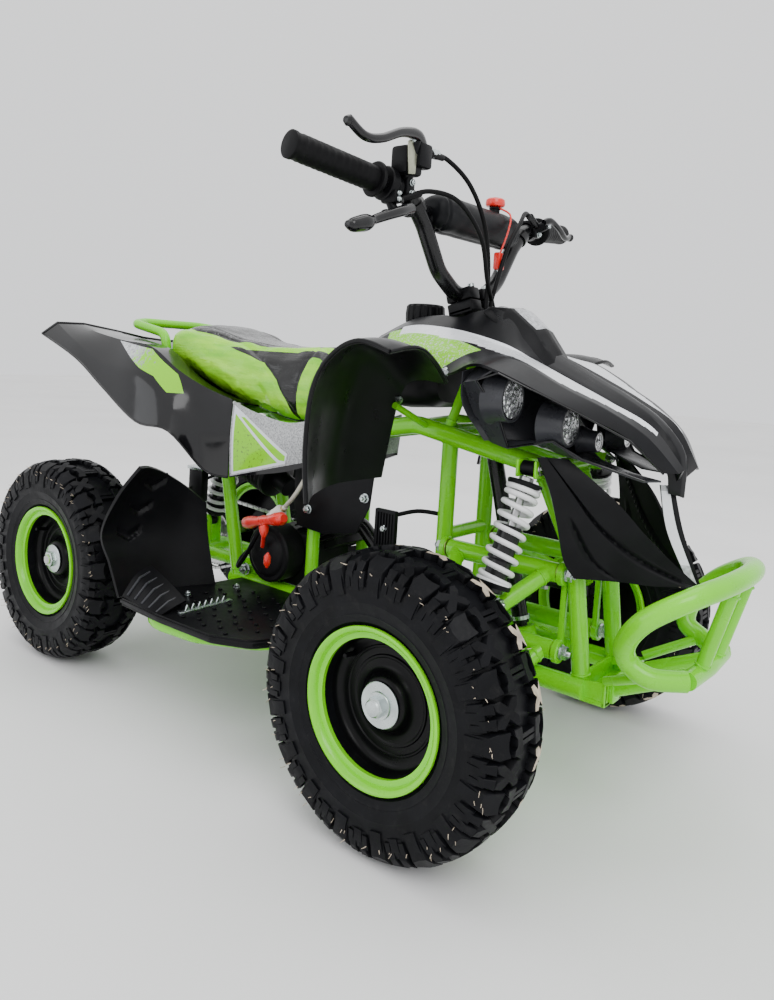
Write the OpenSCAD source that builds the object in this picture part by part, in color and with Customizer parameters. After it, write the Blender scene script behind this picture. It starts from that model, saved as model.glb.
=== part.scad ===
// Child-size quad bike: tube frame, double front arms, live rear axle, moulded covers.
// Front of the machine is -Y, its left side is +X, up is +Z.  Millimetres.

/* [Wheels] */
// Distance between front and rear axle
wheelbase = 730; // [720:1:740]
// Outer diameter of every tyre
tyre_d = 328; // [322:1:330]
// Width of a tyre at its widest
tyre_w = 100; // [92:1:102]
// Distance from the middle plane to a front tyre's middle
front_track_half = 270; // [268:1:276]
// Distance from the middle plane to a rear tyre's middle
rear_track_half = 231; // [229:1:236]
// Outer diameter of the rim flange
rim_d = 175.4; // [172:0.2:178]
// Diameter of the rear axle shaft
axle_d = 25; // [22:1:26]

/* [Frame] */
// Diameter of the main frame tubes
tube_d = 25; // [22:1:26]
// Diameter of the bumper tube
bumper_d = 24; // [20:1:25]
// Diameter of the footrest bars
footbar_d = 22; // [18:1:24]

/* [Steering] */
// Diameter of the handlebar tube
bar_d = 22; // [20:1:23]
// Diameter of the steering stem
stem_d = 22; // [20:1:23]
// Outer diameter of the hand grips
grip_d = 33; // [30:1:35]

/* [Covers] */
// Wall thickness of the moulded covers
cover_t = 3; // [2.5:0.5:3.5]
// Height of the seat's top above the floor at its rear
seat_top = 562; // [556:1:566]

/* [Hidden] */
$fn = 48;
// everything is laid out from the front axle and then moved so that the middle of the whole box is at y = 0
y_mid = (wheelbase + tyre_d / 2 - 281 - bumper_d / 2) / 2;
tr = tyre_d / 2;
fh = front_track_half;
rh = rear_track_half;
kp_x = 190;                    // kingpin distance from the middle plane
lime = "#7fd11b";
satin = "#1d1e20";
gloss = "#111214";

module o() { translate([0, -y_mid, 0]) children(); }
module both() { children(); mirror([1, 0, 0]) children(); }
module right() { mirror([1, 0, 0]) children(); }   // modules draw the left (+X) side

function unit(v) = v / norm(v);
// a straight round bar from a to b
module bar(a, b, d) {
  v = b - a; l = norm(v);
  translate(a) rotate([0, acos(v[2] / l), atan2(v[1], v[0])]) cylinder(d = d, h = l);
}
// round bars along a list of points, each run on past the bends far enough to close the outer corner
function over(p, i, d) = i <= 0 || i >= len(p) - 1 ? 0 :
  let (c = unit(p[i] - p[i - 1]) * unit(p[i + 1] - p[i])) 0.56 * d * sqrt((1 - c) / (1 + c)) + 0.2;
module path_bar(p, d) {
  for (i = [0 : len(p) - 2]) let (v = unit(p[i + 1] - p[i])) bar(p[i] - over(p, i, d) * v, p[i + 1] + over(p, i + 1, d) * v, d);
}
// a ring or bush: outer d, bore b, length h, middle at c, along axis dir
module bush(c, dir, d, b, h) {
  v = unit(dir);
  translate(c) rotate([0, acos(v[2]), atan2(v[1], v[0])]) difference() {
    cylinder(d = d, h = h, center = true);
    if (b > 0) cylinder(d = b, h = h + 2, center = true);
  }
}
function flat(l) = [for (a = l) for (b = a) b];
function volume(p, f) = let (s = [for (t = f) p[t[0]] * cross(p[t[1]], p[t[2]])]) s * [for (t = f) 1] / 6;
function turned(f) = [for (t = f) [t[2], t[1], t[0]]];
// a curved plate: rows of points on its outer face, and the step d to its inner face
module plate(P, d) {
  n = len(P); m = len(P[0]); N = n * m;
  top = flat(P);
  pts = concat(top, [for (p = top) p + d]);
  face = flat([for (i = [0 : n - 2]) [for (j = [0 : m - 2]) each [
      [i * m + j, i * m + j + 1, (i + 1) * m + j + 1], [i * m + j, (i + 1) * m + j + 1, (i + 1) * m + j]]]]);
  back = [for (t = face) [t[2] + N, t[1] + N, t[0] + N]];
  e1 = flat([for (j = [0 : m - 2]) [[j + 1, j, j + N], [j + 1, j + N, j + 1 + N]]]);
  q = (n - 1) * m;
  e2 = flat([for (j = [0 : m - 2]) [[q + j, q + j + 1, q + j + 1 + N], [q + j, q + j + 1 + N, q + j + N]]]);
  e3 = flat([for (i = [0 : n - 2]) [[i * m, (i + 1) * m, (i + 1) * m + N], [i * m, (i + 1) * m + N, i * m + N]]]);
  k = m - 1;
  e4 = flat([for (i = [0 : n - 2]) [[(i + 1) * m + k, i * m + k, i * m + k + N], [(i + 1) * m + k, i * m + k + N, (i + 1) * m + k + N]]]);
  f = concat(face, back, e1, e2, e3, e4);
  polyhedron(pts, volume(pts, f) > 0 ? turned(f) : f);
}
// a solid lofted through rings of points with flat ends
module loft(R) {
  n = len(R); m = len(R[0]);
  pts = flat(R);
  side = flat([for (i = [0 : n - 2]) [for (j = [0 : m - 1]) let (k = (j + 1) % m) each [
      [i * m + j, i * m + k, (i + 1) * m + k], [i * m + j, (i + 1) * m + k, (i + 1) * m + j]]]]);
  c0 = [for (j = [1 : m - 2]) [0, j + 1, j]];
  q = (n - 1) * m;
  c1 = [for (j = [1 : m - 2]) [q, q + j, q + j + 1]];
  f = concat(side, c0, c1);
  polyhedron(pts, volume(pts, f) > 0 ? turned(f) : f);
}
// a tube swept along points with s sides
function ring_at(p, t, r, s) = let (u0 = abs(t[2]) < 0.9 ? [0, 0, 1] : [1, 0, 0], a = unit(cross(t, u0)), b = cross(t, a))
  [for (k = [0 : s - 1]) p + r * (cos(360 * k / s) * a + sin(360 * k / s) * b)];
module cord(p, d, s = 8) {
  n = len(p);
  t = [for (i = [0 : n - 1]) unit(p[min(i + 1, n - 1)] - p[max(i - 1, 0)])];
  loft([for (i = [0 : n - 1]) ring_at(p[i], t[i], d / 2, s)]);
}
function catmull(a, b, c, d, t) = 0.5 * ((2 * b) + (c - a) * t + (2 * a - 5 * b + 4 * c - d) * t * t + (3 * b - a - 3 * c + d) * t * t * t);
function smooth(p, k) = let (n = len(p)) concat(flat([for (i = [0 : n - 2]) [for (j = [0 : k - 1])
    catmull(p[max(i - 1, 0)], p[i], p[i + 1], p[min(i + 2, n - 1)], j / k)]]), [p[n - 1]]);

// steering stem line
stem_lo = [0, -6, 176];
stem_hi = [0, 113, 617];
stem_v = unit(stem_hi - stem_lo);
function stem_at(z) = stem_lo + (z - stem_lo[2]) / stem_v[2] * stem_v;

module frame() {
  color(lime) o() {
    difference() {
      union() {
        both() {
          bar([60, -124, 150], [60, 506, 150], tube_d);
          bar([50, -116, 152], [50, -96, 302], 22);
          bar([50, -97, 296], [55, -44, 404], 19);
          bar([50, 96, 152], [50, 96, 434], 22);
          bar([60, 330, 152], [58, 330, 400], 20);
          bar([60, 494, 152], [58, 560, 428], 22);
          // swingarm pivot lugs
          translate([46, 458, 150]) cube([12, 24, 36]);
          // pivot eyes for the arms
          for (y = [-86, 86]) {
            bush([58, y, 282], [0, 1, 0], 29, 0, 8);
            bush([58, y, 186], [0, 1, 0], 29, 0, 8);
            translate([46, y - 3.5, 178]) cube([9, 7, 112]);
          }
        }
        for (c = [[96, 296, 49], [-98, 300, 49], [330, 151, 59]])
          bar([-c[2], c[0], c[1]], [c[2], c[0], c[1]], 18);
        translate([-62, -152, 136]) cube([124, 40, 30]);
        translate([-52, 70, 142]) cube([104, 40, 14]);
        // engine bed
        translate([-54, 352, 142]) cube([108, 26, 14]);
        translate([-54, 412, 142]) cube([108, 26, 14]);
        // lower steering bearing
        translate([-54, -24, 146]) cube([108, 40, 13]);
        bush(stem_at(171), stem_v, 36, 0, 26);
      }
      bar(stem_at(140), stem_at(200), 16.15);
      both() for (z = [186, 282]) translate([58, 0, z]) rotate([90, 0, 0]) cylinder(d = 10.4, h = 200, center = true);
      translate([0, 470, 170]) rotate([0, 90, 0]) cylinder(d = 12.4, h = 140, center = true);
      translate([-50, -170, 143]) cube([100, 52, 16]);
    }
  }
}

// rails under the seat and tank, with the upper steering bearing
module seat_rails() {
  color(lime) o() {
    difference() {
      union() {
        both() {
          path_bar([[55, -56, 406], [55, 150, 441], [57.6, 306, 409], [58, 504, 406], [58, 700, 457]], tube_d);
          bar([52, 100, 438], [21, 86, 530], 13);
          // shock ears
          bar([56, -50, 406], [80, -50, 409], 17);
          translate([77, -64, 397]) cube([5, 28, 24]);
          for (y = [-64, -40]) translate([79, y, 399]) cube([27, 4, 21]);
        }
        for (c = [[-50, 408, 54], [104, 437, 54], [696, 456, 57], [560, 425, 57]])
          bar([-c[2], c[0], c[1]], [c[2], c[0], c[1]], 18);
        bush(stem_at(532), stem_v, 40, 0, 26);
        // rear shock ears
        for (x = [-13, 8.4]) translate([x, 556, 392]) cube([4.6, 26, 40]);
        // tow plate at the tail
        translate([-30, 696, 452]) cube([60, 30, 6]);
      }
      bar(stem_at(500), stem_at(560), stem_d + 0.15);
      both() translate([96, -50, 410]) rotate([90, 0, 0]) cylinder(d = 8.4, h = 60, center = true);
      translate([0, 569, 402]) rotate([0, 90, 0]) cylinder(d = 8.4, h = 60, center = true);
      translate([0, 713, 440]) cylinder(d = 13, h = 30);
    }
  }
}

// loops welded to the rails under the footwells
module footrest_bars() {
  color(lime) o() both()
    path_bar([[64, 252, 140], [150, 248, 138], [205, 272, 138], [240, 353, 138], [252, 446, 138], [205, 474, 138], [64, 462, 140]], footbar_d);
}

module front_bumper() {
  color(lime) o() {
    h = [[60, -272, 309], [104, -250, 298], [122, -214, 272], [112, -190, 240], [98, -188, 214], [92, -212, 200], [66, -243, 198]];
    path_bar(concat([for (i = [6 : -1 : 0]) [-h[i][0], h[i][1], h[i][2]]], [[0, -281, 313]], h), bumper_d);
    bar([-64, -244, 198], [64, -244, 198], 20);
    both() {
      bar([28, -246, 199], [30, -276, 308], 16);
      bar([42, -154, 152], [42, -240, 196], 18);
      translate([32, -158, 140]) cube([20, 6, 22]);
    }
  }
}

// outer ends of the arms carry the kingpin
module upper_arms() {
  color(lime) o() both() difference() {
    union() {
      bar([58, -80, 282], [58, 80, 282], 24);
      bar([58, -94, 282], [58, 94, 282], 10);
      bar([60, -68, 282], [172, -14, 217], 20);
      bar([60, 68, 282], [172, 14, 217], 20);
      bar([172, -20, 217], [172, 20, 217], 17);
      bush([kp_x, 0, 217], [0, 0, 1], 34, 0, 18);
      // shock foot
      for (y = [-46, -27]) translate([135, y, 228]) cube([22, 5, 34]);
      translate([135, -46, 228]) cube([22, 24, 7]);
    }
    translate([kp_x, 0, 190]) cylinder(d = 12.15, h = 60);
    translate([146, -34, 254]) rotate([90, 0, 0]) cylinder(d = 8.4, h = 60, center = true);
  }
}
module lower_arms() {
  color(lime) o() both() difference() {
    union() {
      bar([58, -80, 186], [58, 80, 186], 24);
      bar([58, -94, 186], [58, 94, 186], 10);
      bar([60, -68, 186], [172, -14, 109], 19);
      bar([60, 68, 186], [172, 14, 109], 19);
      bar([172, -20, 109], [172, 20, 109], 16);
      bush([kp_x, 0, 110], [0, 0, 1], 34, 0, 18);
    }
    translate([kp_x, 0, 80]) cylinder(d = 12.15, h = 60);
  }
}

// coil spring as a stack of rings closed round a damper
module shock(a, b, spring_d, body_d) {
  v = b - a; l = norm(v);
  // the eyes' bolts lie across the lean
  translate(a) rotate([0, acos(v[2] / l), atan2(v[1], v[0])]) {
    cylinder(d = 11, h = l);
    translate([0, 0, 0.10 * l]) cylinder(d = body_d, h = 0.42 * l);
    translate([0, 0, 0.10 * l]) cylinder(d = spring_d, h = 5);
    translate([0, 0, 0.85 * l]) cylinder(d = spring_d, h = 5);
    for (k = [1 : 7]) translate([0, 0, (0.12 + 0.091 * k) * l]) rotate_extrude() translate([spring_d / 2 - 4, 0]) circle(d = 7.5, $fn = 24);
    for (s = [-1, 1]) translate([s * (spring_d / 2 - 5.2), 0, 0.10 * l + 3]) cylinder(d = 2.4, h = 0.76 * l);
  }
}
module front_shocks() {
  color("#e9e9ea") o() both() {
    shock([146, -34, 254], [96, -50, 410], 42, 28);
    translate([146, -34, 254]) rotate([90, 0, 0]) cylinder(d = 18, h = 13, center = true);
    translate([146, -34, 254]) rotate([90, 0, 0]) cylinder(d = 8, h = 30, center = true);
    translate([96, -50, 410]) rotate([90, 0, 0]) cylinder(d = 18, h = 18, center = true);
    translate([96, -50, 410]) rotate([90, 0, 0]) cylinder(d = 8, h = 34, center = true);
  }
}
module rear_shock() {
  color("#e9e9ea") o() {
    shock([0, 640, 214], [0, 569, 402], 50, 32);
    for (c = [[640, 214], [569, 402]]) {
      translate([0, c[0], c[1]]) rotate([0, 90, 0]) cylinder(d = 20, h = 15, center = true);
      translate([0, c[0], c[1]]) rotate([0, 90, 0]) cylinder(d = 8, h = 34, center = true);
    }
  }
}

module swingarm() {
  color(lime) o() difference() {
    union() {
      both() {
        bar([33, 462, 170], [33, 712, 164], 22);
        translate([8.4, 629, 168]) cube([4.6, 22, 57]);
      }
      bar([-44, 470, 170], [44, 470, 170], 30);
      bar([-66, 470, 170], [66, 470, 170], 12);
      translate([0, wheelbase, tr]) rotate([0, 90, 0]) cylinder(d = 60, h = 122, center = true);
      bar([-33, 636, 166], [33, 636, 166], 20);
    }
    translate([0, wheelbase, tr]) rotate([0, 90, 0]) cylinder(d = axle_d + 0.15, h = 200, center = true);
    translate([0, 640, 214]) rotate([0, 90, 0]) cylinder(d = 8.4, h = 60, center = true);
  }
}

module engine() {
  color("#2a2b2e") o() {
    translate([-46, 346, 157]) cube([92, 96, 88]);
    translate([-24, 350, 236]) rotate([-24, 0, 0]) {
      translate([0, -36, -20]) cube([70, 68, 84]);
      for (k = [0 : 5]) translate([-7, -43, k * 12 - 6]) cube([78, 82, 6]);
    }
    translate([-45, 402, 212]) rotate([0, -90, 0]) cylinder(d = 92, h = 46);
    translate([45, 400, 205]) rotate([0, 90, 0]) cylinder(d = 56, h = 28);
    translate([45, 428, 204]) rotate([0, 90, 0]) cylinder(d = 15, h = 45);
  }
}
module exhaust() {
  color("#1b1c1e") o() {
    path_bar([[16, 330, 268], [22, 300, 262], [26, 272, 232], [26, 262, 205]], 24);
    bar([26, 274, 200], [26, 160, 188], 60);
    bar([26, 162, 188], [26, 138, 186], 18);
  }
}
module air_filter() {
  color("#202124") o() {
    bar([8, 452, 300], [8, 486, 314], 34);
    bar([8, 480, 312], [8, 548, 336], 74);
  }
}
module fuel_tank() {
  color("#191a1c") o() {
    loft([for (s = [[128, 44, 472, 536], [142, 56, 464, 552], [190, 60, 460, 556], [236, 54, 464, 546], [254, 42, 474, 530]])
      [for (k = [0 : 11]) let (a = 30 * k + 15) [s[1] * (abs(cos(a)) ^ 0.6) * sign(cos(a)), s[0], (s[2] + s[3]) / 2 + (s[3] - s[2]) / 2 * (abs(sin(a)) ^ 0.6) * sign(sin(a))]]]);
    translate([0, 188, 548]) cylinder(d = 40, h = 36);
    translate([0, 188, 582]) cylinder(d = 54, h = 20);
  }
}
module pull_handle() {
  color("#c8281e") o() {
    bar([-98, 400, 226], [-122, 372, 268], 7);
    bar([-108, 420, 258], [-140, 330, 284], 17);
  }
}
module fuel_filter() {
  color("#d8d6cf") o() {
    bar([-99, 388, 268], [-97, 362, 290], 20);
    cord(smooth([[-97, 364, 288], [-94, 340, 315], [-90, 320, 350], [-86, 300, 395], [-84, 268, 440], [-74, 244, 464], [-54, 232, 476]], 3), 7);
    cord(smooth([[-99, 386, 270], [-102, 406, 248], [-103, 428, 212], [-100, 452, 184], [-84, 460, 196], [-56, 452, 216], [-30, 440, 222]], 3), 7);
  }
}

module footwell() {
  // floor with the heel guard that stands before the rear tyre
  F = [[74, 250], [150, 216], [212, 214], [262, 236], [288, 290], [290, 400], [284, 496], [205, 500], [132, 478], [74, 470]];
  translate([0, 0, 152]) linear_extrude(cover_t + 3) polygon(F);
  plate([[[130, 468, 156], [165, 484, 156], [205, 496, 156], [250, 500, 158], [285, 496, 160]],
         [[132, 478, 190], [166, 500, 195], [206, 516, 200], [250, 526, 205], [286, 520, 205]],
         [[134, 488, 235], [168, 512, 240], [208, 530, 243], [252, 542, 245], [286, 544, 245]],
         [[138, 488, 268], [170, 508, 285], [210, 520, 295], [250, 520, 305], [284, 508, 305]],
         [[142, 486, 284], [172, 500, 312], [210, 500, 335], [248, 484, 348], [280, 462, 353]]], [0, 5, 0]);
}
module footwell_left() { color(satin) o() footwell(); }
module footwell_right() { color(satin) o() right() footwell(); }

// hood over the stem, lamps and beak: stations from back to front, half a section each
hood = [
  [[0, 240, 568], [34, 240, 562], [64, 240, 545], [86, 240, 510], [98, 240, 470]],
  [[0, 178, 590], [36, 176, 588], [66, 172, 574], [102, 160, 545], [116, 150, 505]],
  [[0, 110, 600], [36, 104, 594], [64, 100, 573], [112, 72, 543], [130, 60, 514]],
  [[0, 40, 604], [34, 34, 598], [62, 22, 556], [120, 6, 541], [164, -2, 530]],
  [[0, -36, 528], [30, -34, 530], [60, -24, 540], [116, -34, 537], [166, -38, 524]],
  [[0, -84, 502], [28, -84, 506], [58, -80, 516], [104, -92, 508], [142, -88, 500]],
  [[0, -122, 482], [24, -124, 486], [52, -126, 495], [84, -138, 486], [112, -128, 478]],
  [[0, -160, 456], [18, -164, 462], [40, -174, 469], [62, -178, 458], [82, -164, 456]],
  [[0, -190, 400], [12, -200, 412], [24, -208, 424], [36, -206, 420], [48, -192, 420]]];
module front_fairing() {
  color(satin) o() {
    difference() {
      union() {
        both() plate(hood, [0, 0, -4]);
        // buckets behind the lamps: the rim of the opening, then the wall further back
        both() plate([[[142, -25, 534], [166.5, -10, 511], [143, -27, 475], [112, -27, 434], [107, -80, 447], [80, -107, 428], [50, -170, 409], [40, -186, 408]],
                      [[136, 10, 526], [152, 16, 506], [138, 8, 472], [108, 4, 437], [92, -30, 438], [66, -56, 430], [34, -90, 428], [24, -150, 412]]], [-3, 1, 1.5]);
      }
      // room for the filler cap and the stem
      translate([0, 188, 480]) cylinder(d = 60, h = 160);
      hull() { translate([0, 104, 480]) cylinder(d = 84, h = 160, $fn = 32); translate([0, 109, 480]) cylinder(d = 84, h = 160, $fn = 32); }
    }
  }
}
module nose_guard() {
  color(satin) o() {
    both() plate([[[112, -68, 426], [98, -78, 426], [82, -92, 425]],
                  [[104, -82, 388], [82, -112, 384], [60, -144, 382]],
                  [[94, -96, 350], [68, -134, 346], [40, -176, 344]],
                  [[78, -106, 306], [50, -160, 308], [18, -202, 314]],
                  [[62, -124, 284], [34, -190, 286], [0, -230, 289]]], [0, 4, -1]);
    plate([[[-14, -176, 398], [0, -186, 398], [14, -176, 398]],
           [[-12, -190, 350], [0, -200, 350], [12, -190, 350]],
           [[-8, -214, 304], [0, -220, 304], [8, -214, 304]]], [0, 5, 0]);
  }
}
module headlamps() {
  color("#b9bbbd") o() both() {
    bar([130, -40, 491], [130, 4, 491], 54);
    bar([86, -94, 463], [86, -46, 463], 48);
    bar([44, -112, 446], [44, -74, 446], 26);
  }
}
module front_fender() {
  plate([[[152, 40, 506], [196, 28, 530], [246, 16, 544], [290, 20, 538]],
         [[140, 84, 508], [192, 76, 544], [246, 66, 553], [293, 62, 548]],
         [[130, 116, 500], [188, 122, 536], [246, 110, 545], [296, 98, 530]],
         [[124, 134, 474], [188, 150, 495], [248, 138, 500], [298, 122, 490]],
         [[120, 148, 426], [190, 166, 435], [250, 152, 430], [299, 127, 420]],
         [[120, 158, 372], [192, 172, 368], [250, 158, 362], [296, 124, 360]]], [0, -2.5, -cover_t]);
  // stay to the frame
  bar([60, 128, 440], [134, 130, 470], 9);
}
module front_fender_left() { color(satin) o() front_fender(); }
module front_fender_right() { color(satin) o() right() front_fender(); }

module side_cover() {
  plate([[[96, 292, 438], [98, 294, 404], [96, 296, 370]],
         [[104, 350, 424], [110, 350, 385], [104, 352, 350]],
         [[110, 420, 434], [116, 420, 388], [112, 420, 336]],
         [[113, 466, 447], [117, 466, 390], [114, 468, 326]]], [-cover_t, 0, 0]);
  bar([57, 400, 412], [110, 400, 405], 8);
}
module side_cover_left() { color(gloss) o() side_cover(); }
module side_cover_right() { color(gloss) o() right() side_cover(); }

module seat() {
  color("#1a1b1d") o() {
    S = [[262, 44, 438, 520], [280, 60, 434, 534], [330, 72, 434, 535], [400, 84, 438, 532], [470, 94, 452, 532], [540, 102, 468, 542], [600, 104, 486, 558], [640, 98, 500, seat_top], [662, 84, 512, 556]];
    loft([for (s = S) [for (k = [0 : 15]) let (a = 22.5 * k + 11.25, q = 0.55)
      [s[1] * (abs(cos(a)) ^ q) * sign(cos(a)), s[0], (s[2] + s[3]) / 2 + (s[3] - s[2]) / 2 * (abs(sin(a)) ^ q) * sign(sin(a))]]]);
  }
}
// rear cover, half sections from the middle outward
tail = [
  [[0, 470, 440], [62, 470, 440], [96, 470, 446], [112, 470, 449], [115, 470, 390], [113, 472, 325]],
  [[0, 520, 448], [62, 520, 448], [104, 520, 462], [130, 518, 466], [139, 514, 400], [134, 506, 334]],
  [[0, 566, 460], [70, 566, 460], [110, 565, 484], [150, 560, 490], [171, 552, 440], [178, 542, 394]],
  [[0, 622, 480], [72, 622, 480], [118, 620, 520], [162, 616, 524], [190, 610, 470], [198, 600, 404]],
  [[0, 690, 506], [72, 690, 506], [118, 694, 534], [164, 700, 532], [196, 700, 490], [202, 690, 452]],
  [[0, 760, 526], [60, 762, 528], [112, 770, 542], [164, 782, 544], [196, 790, 526], [204, 770, 496]],
  [[0, 796, 534], [50, 802, 538], [98, 816, 547], [150, 840, 556], [188, 862, 555], [205, 882, 534]]];
module rear_fender() {
  // the deck steps down, the flanks step in
  color(gloss) o() both() {
    plate([for (r = tail) [for (j = [0 : 3]) r[j]]], [0, 0, -cover_t]);
    plate([for (r = tail) [for (j = [3 : 5]) r[j]]], [-cover_t, 0, -1]);
  }
}
module grab_bar() {
  color(lime) o() {
    h = [[60, 784, 566], [93, 764, 562], [97, 670, 547], [96, 664, 512]];
    path_bar(concat([for (i = [3 : -1 : 0]) [-h[i][0], h[i][1], h[i][2]]], h), 16);
  }
}
module drive_chain() {
  color("#3a3b3d") o() {
    difference() {
      hull() {
        translate([84, wheelbase, tr]) rotate([0, 90, 0]) cylinder(d = 150, h = 8, center = true, $fn = 32);
        translate([84, 428, 204]) rotate([0, 90, 0]) cylinder(d = 34, h = 8, center = true, $fn = 32);
      }
      hull() {
        translate([84, wheelbase, tr]) rotate([0, 90, 0]) cylinder(d = 140, h = 20, center = true, $fn = 32);
        translate([84, 428, 204]) rotate([0, 90, 0]) cylinder(d = 24, h = 20, center = true, $fn = 32);
      }
    }
  }
}
module brake_caliper() {
  color("#c9cbcc") o() {
    difference() {
      union() {
        translate([-102, 644, 176]) cube([36, 44, 50]);
        bar([-68, 664, 186], [-38, 664, 170], 11);
      }
      translate([-88, 630, 160]) cube([8, 60, 90]);
    }
  }
}
module regulator_box() { color("#2b2d31") o() { translate([-92, 150, 268]) cube([8, 36, 54]); path_bar([[-86, 160, 314], [-60, 136, 322], [-50, 100, 322]], 6); } }

// ---- steering ----
module steering_stem() {
  color("#151617") o() {
    bar(stem_at(166), stem_at(196), 16);
    bar(stem_at(187.6), stem_at(606), stem_d);
    difference() {
      translate(stem_at(610)) rotate([-15, 0, 0]) translate([-30, -20, -14]) cube([60, 40, 34]);
      translate([0, 116, 622]) rotate([0, 90, 0]) cylinder(d = bar_d + 0.1, h = 100, center = true);
    }
    // lower plate that pulls the tie rods
    difference() {
      translate(stem_at(214)) rotate([-15.1, 0, 0]) translate([-30, -6, -4]) cube([60, 70, 7]);
      for (x = [-20, 20]) translate([x, 60, 180]) cylinder(d = 8.2, h = 40);
    }
    // cable guide
    translate(stem_at(436)) rotate([-15, 0, 0]) translate([-28, -24, -5]) cube([56, 20, 10]);
  }
}
hb = [[34, 116, 622], [74, 118, 648], [112, 118, 702], [146, 118.3, 735.7], [322, 149, 757]];
module handlebar() {
  color("#131415") o() {
    path_bar(concat([for (i = [4 : -1 : 0]) [-hb[i][0], hb[i][1], hb[i][2]]], hb), bar_d);
    bar([-134, 120, 722], [134, 120, 722], 13);
  }
}
module bar_pad() {
  color("#161718") o() difference() {
    loft([for (s = [[-101, 12], [-95, 20], [-84, 26], [84, 26], [95, 20], [101, 12]])
      [for (k = [0 : 11]) let (a = 30 * k) [s[0], 118 + s[1] * cos(a), 722 + s[1] * sin(a)]]]);
    translate([0, 120, 722]) rotate([0, 90, 0]) cylinder(d = 13.1, h = 260, center = true);
  }
}
module hand_grips() {
  color("#121212") o() both() difference() {
    union() {
      bar([204, 128.44, 742.7], [327, 149.87, 757.6], grip_d);
      bar([200, 127.74, 742.21], [205, 128.61, 742.82], 44);
    }
    bar([190, 126, 741], [322.6, 149.1, 757.07], bar_d + 0.1);
  }
}
module brake_levers() {
  color("#17181a") o() {
    difference() {
      both() bar([153.2, 119.56, 736.57], [174.2, 123.22, 739.12], 31);
      both() bar([146, 118.3, 735.7], [190, 125.975, 741.025], bar_d + 0.1);
    }
    // right side: one lever above the grip, one below it
    mirror([1, 0, 0]) {
      bar([163, 110, 748], [172, 94, 792], 15);
      bar([168, 92, 797], [298, 90, 782], 10);
      bar([160, 104, 778], [128, 98, 786], 10);
      path_bar([[160, 110, 723], [180, 91, 708], [284, 92, 674]], 9);
    }
    // left side
    bar([163, 106, 736], [166, 92, 746], 15);
    bar([158, 90, 750], [292, 90, 739], 10);
    bar([156, 104, 744], [126, 98, 752], 10);
  }
}
module thumb_throttle() {
  color("#141516") o() {
    difference() {
      bar([-178.4, 123.95, 739.62], [-190, 125.975, 741.025], 42);
      bar([-146, 118.3, 735.7], [-196, 127.02, 741.75], bar_d + 0.1);
    }
    bar([-184, 118, 720], [-184, 108, 702], 12);
    bar([-184, 108, 704], [-214, 104, 698], 9);
  }
}
module kill_switch() {
  color("#c8281e") o() {
    translate([54, 116, 738]) cylinder(d = 14, h = 18);
    translate([54, 116, 754]) cylinder(d = 28, h = 12);
    path_bar([[54, 108, 752], [46, 86, 734], [20, 84, 678]], 8);
  }
}
module control_cables() {
  color("#0d0d0e") o() {
    cord(smooth([[-134, 98, 784], [-104, 94, 784], [-64, 84, 760], [-32, 78, 716], [-14, 78, 660], [-10, 80, 604], [-10, 72, 560], [-14, 58, 520], [-16, 48, 476], [-16, 42, 440]], 3), 6);
    cord(smooth([[132, 100, 750], [100, 92, 752], [62, 78, 730], [26, 74, 690], [6, 76, 640], [2, 80, 604], [0, 70, 560], [0, 54, 520], [0, 42, 476], [0, 40, 440]], 3), 6);
    cord(smooth([[-172, 106, 724], [-146, 88, 736], [-104, 72, 730], [-56, 66, 692], [-24, 72, 640], [14, 82, 604], [14, 74, 560], [16, 60, 520], [16, 48, 476], [16, 42, 440]], 3), 6);
  }
}

// ---- steered knuckles and wheels, left side drawn ----
module knuckle() {
  difference() {
    union() {
      translate([kp_x, 0, 121.5]) cylinder(d = 30, h = 84);
      translate([kp_x, 0, tr]) rotate([0, 90, 0]) cylinder(d = 20, h = 58);
      translate([kp_x, 0, tr]) rotate([0, 90, 0]) cylinder(d = 12, h = 118);
      // steering arm
      translate([kp_x - 26, 0, 194]) cube([24, 54, 9]);
      translate([kp_x - 14, 54, 194]) cylinder(d = 26, h = 9);
    }
    translate([kp_x - 14, 54, 190]) cylinder(d = 8.2, h = 20);
  }
  // kingpin bolt
  translate([kp_x, 0, 92]) cylinder(d = 12, h = 144);
  translate([kp_x, 0, 94]) cylinder(d = 20, h = 6);
  translate([kp_x, 0, 227]) cylinder(d = 20, h = 6);
}
module knuckle_left() { color("#22252a") o() knuckle(); }
module knuckle_right() { color("#22252a") o() right() knuckle(); }
module tie_rod() {
  a = [kp_x - 14, 54, 215];
  b = [20, 60, 219];
  bar(a, b, 10);
  translate([a[0], a[1], 186]) cylinder(d = 8, h = 30);
  translate([a[0], a[1], 204]) cylinder(d = 20, h = 18);
  translate([b[0], b[1], 213]) cylinder(d = 18, h = 12);
}
module tie_rod_left() { color("#b9bbbd") o() tie_rod(); }
module tie_rod_right() { color("#b9bbbd") o() right() tie_rod(); }

// tyre section, radius outward, then the rim it sits on
module tyre() {
  r = tr; w = tyre_w / 2; b = rim_d / 2;
  rotate([0, 90, 0]) rotate_extrude($fn = 96) polygon([[b - 2, -38], [b + 8, -44], [b + 30, -w], [r - 26, -w], [r - 10, -w + 5], [r - 2, -w + 16], [r, -w + 32],
    [r, w - 32], [r - 2, w - 16], [r - 10, w - 5], [r - 26, w], [b + 30, w], [b + 8, 44], [b - 2, 38], [b - 16, 36], [b - 16, -36]]);
}
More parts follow.
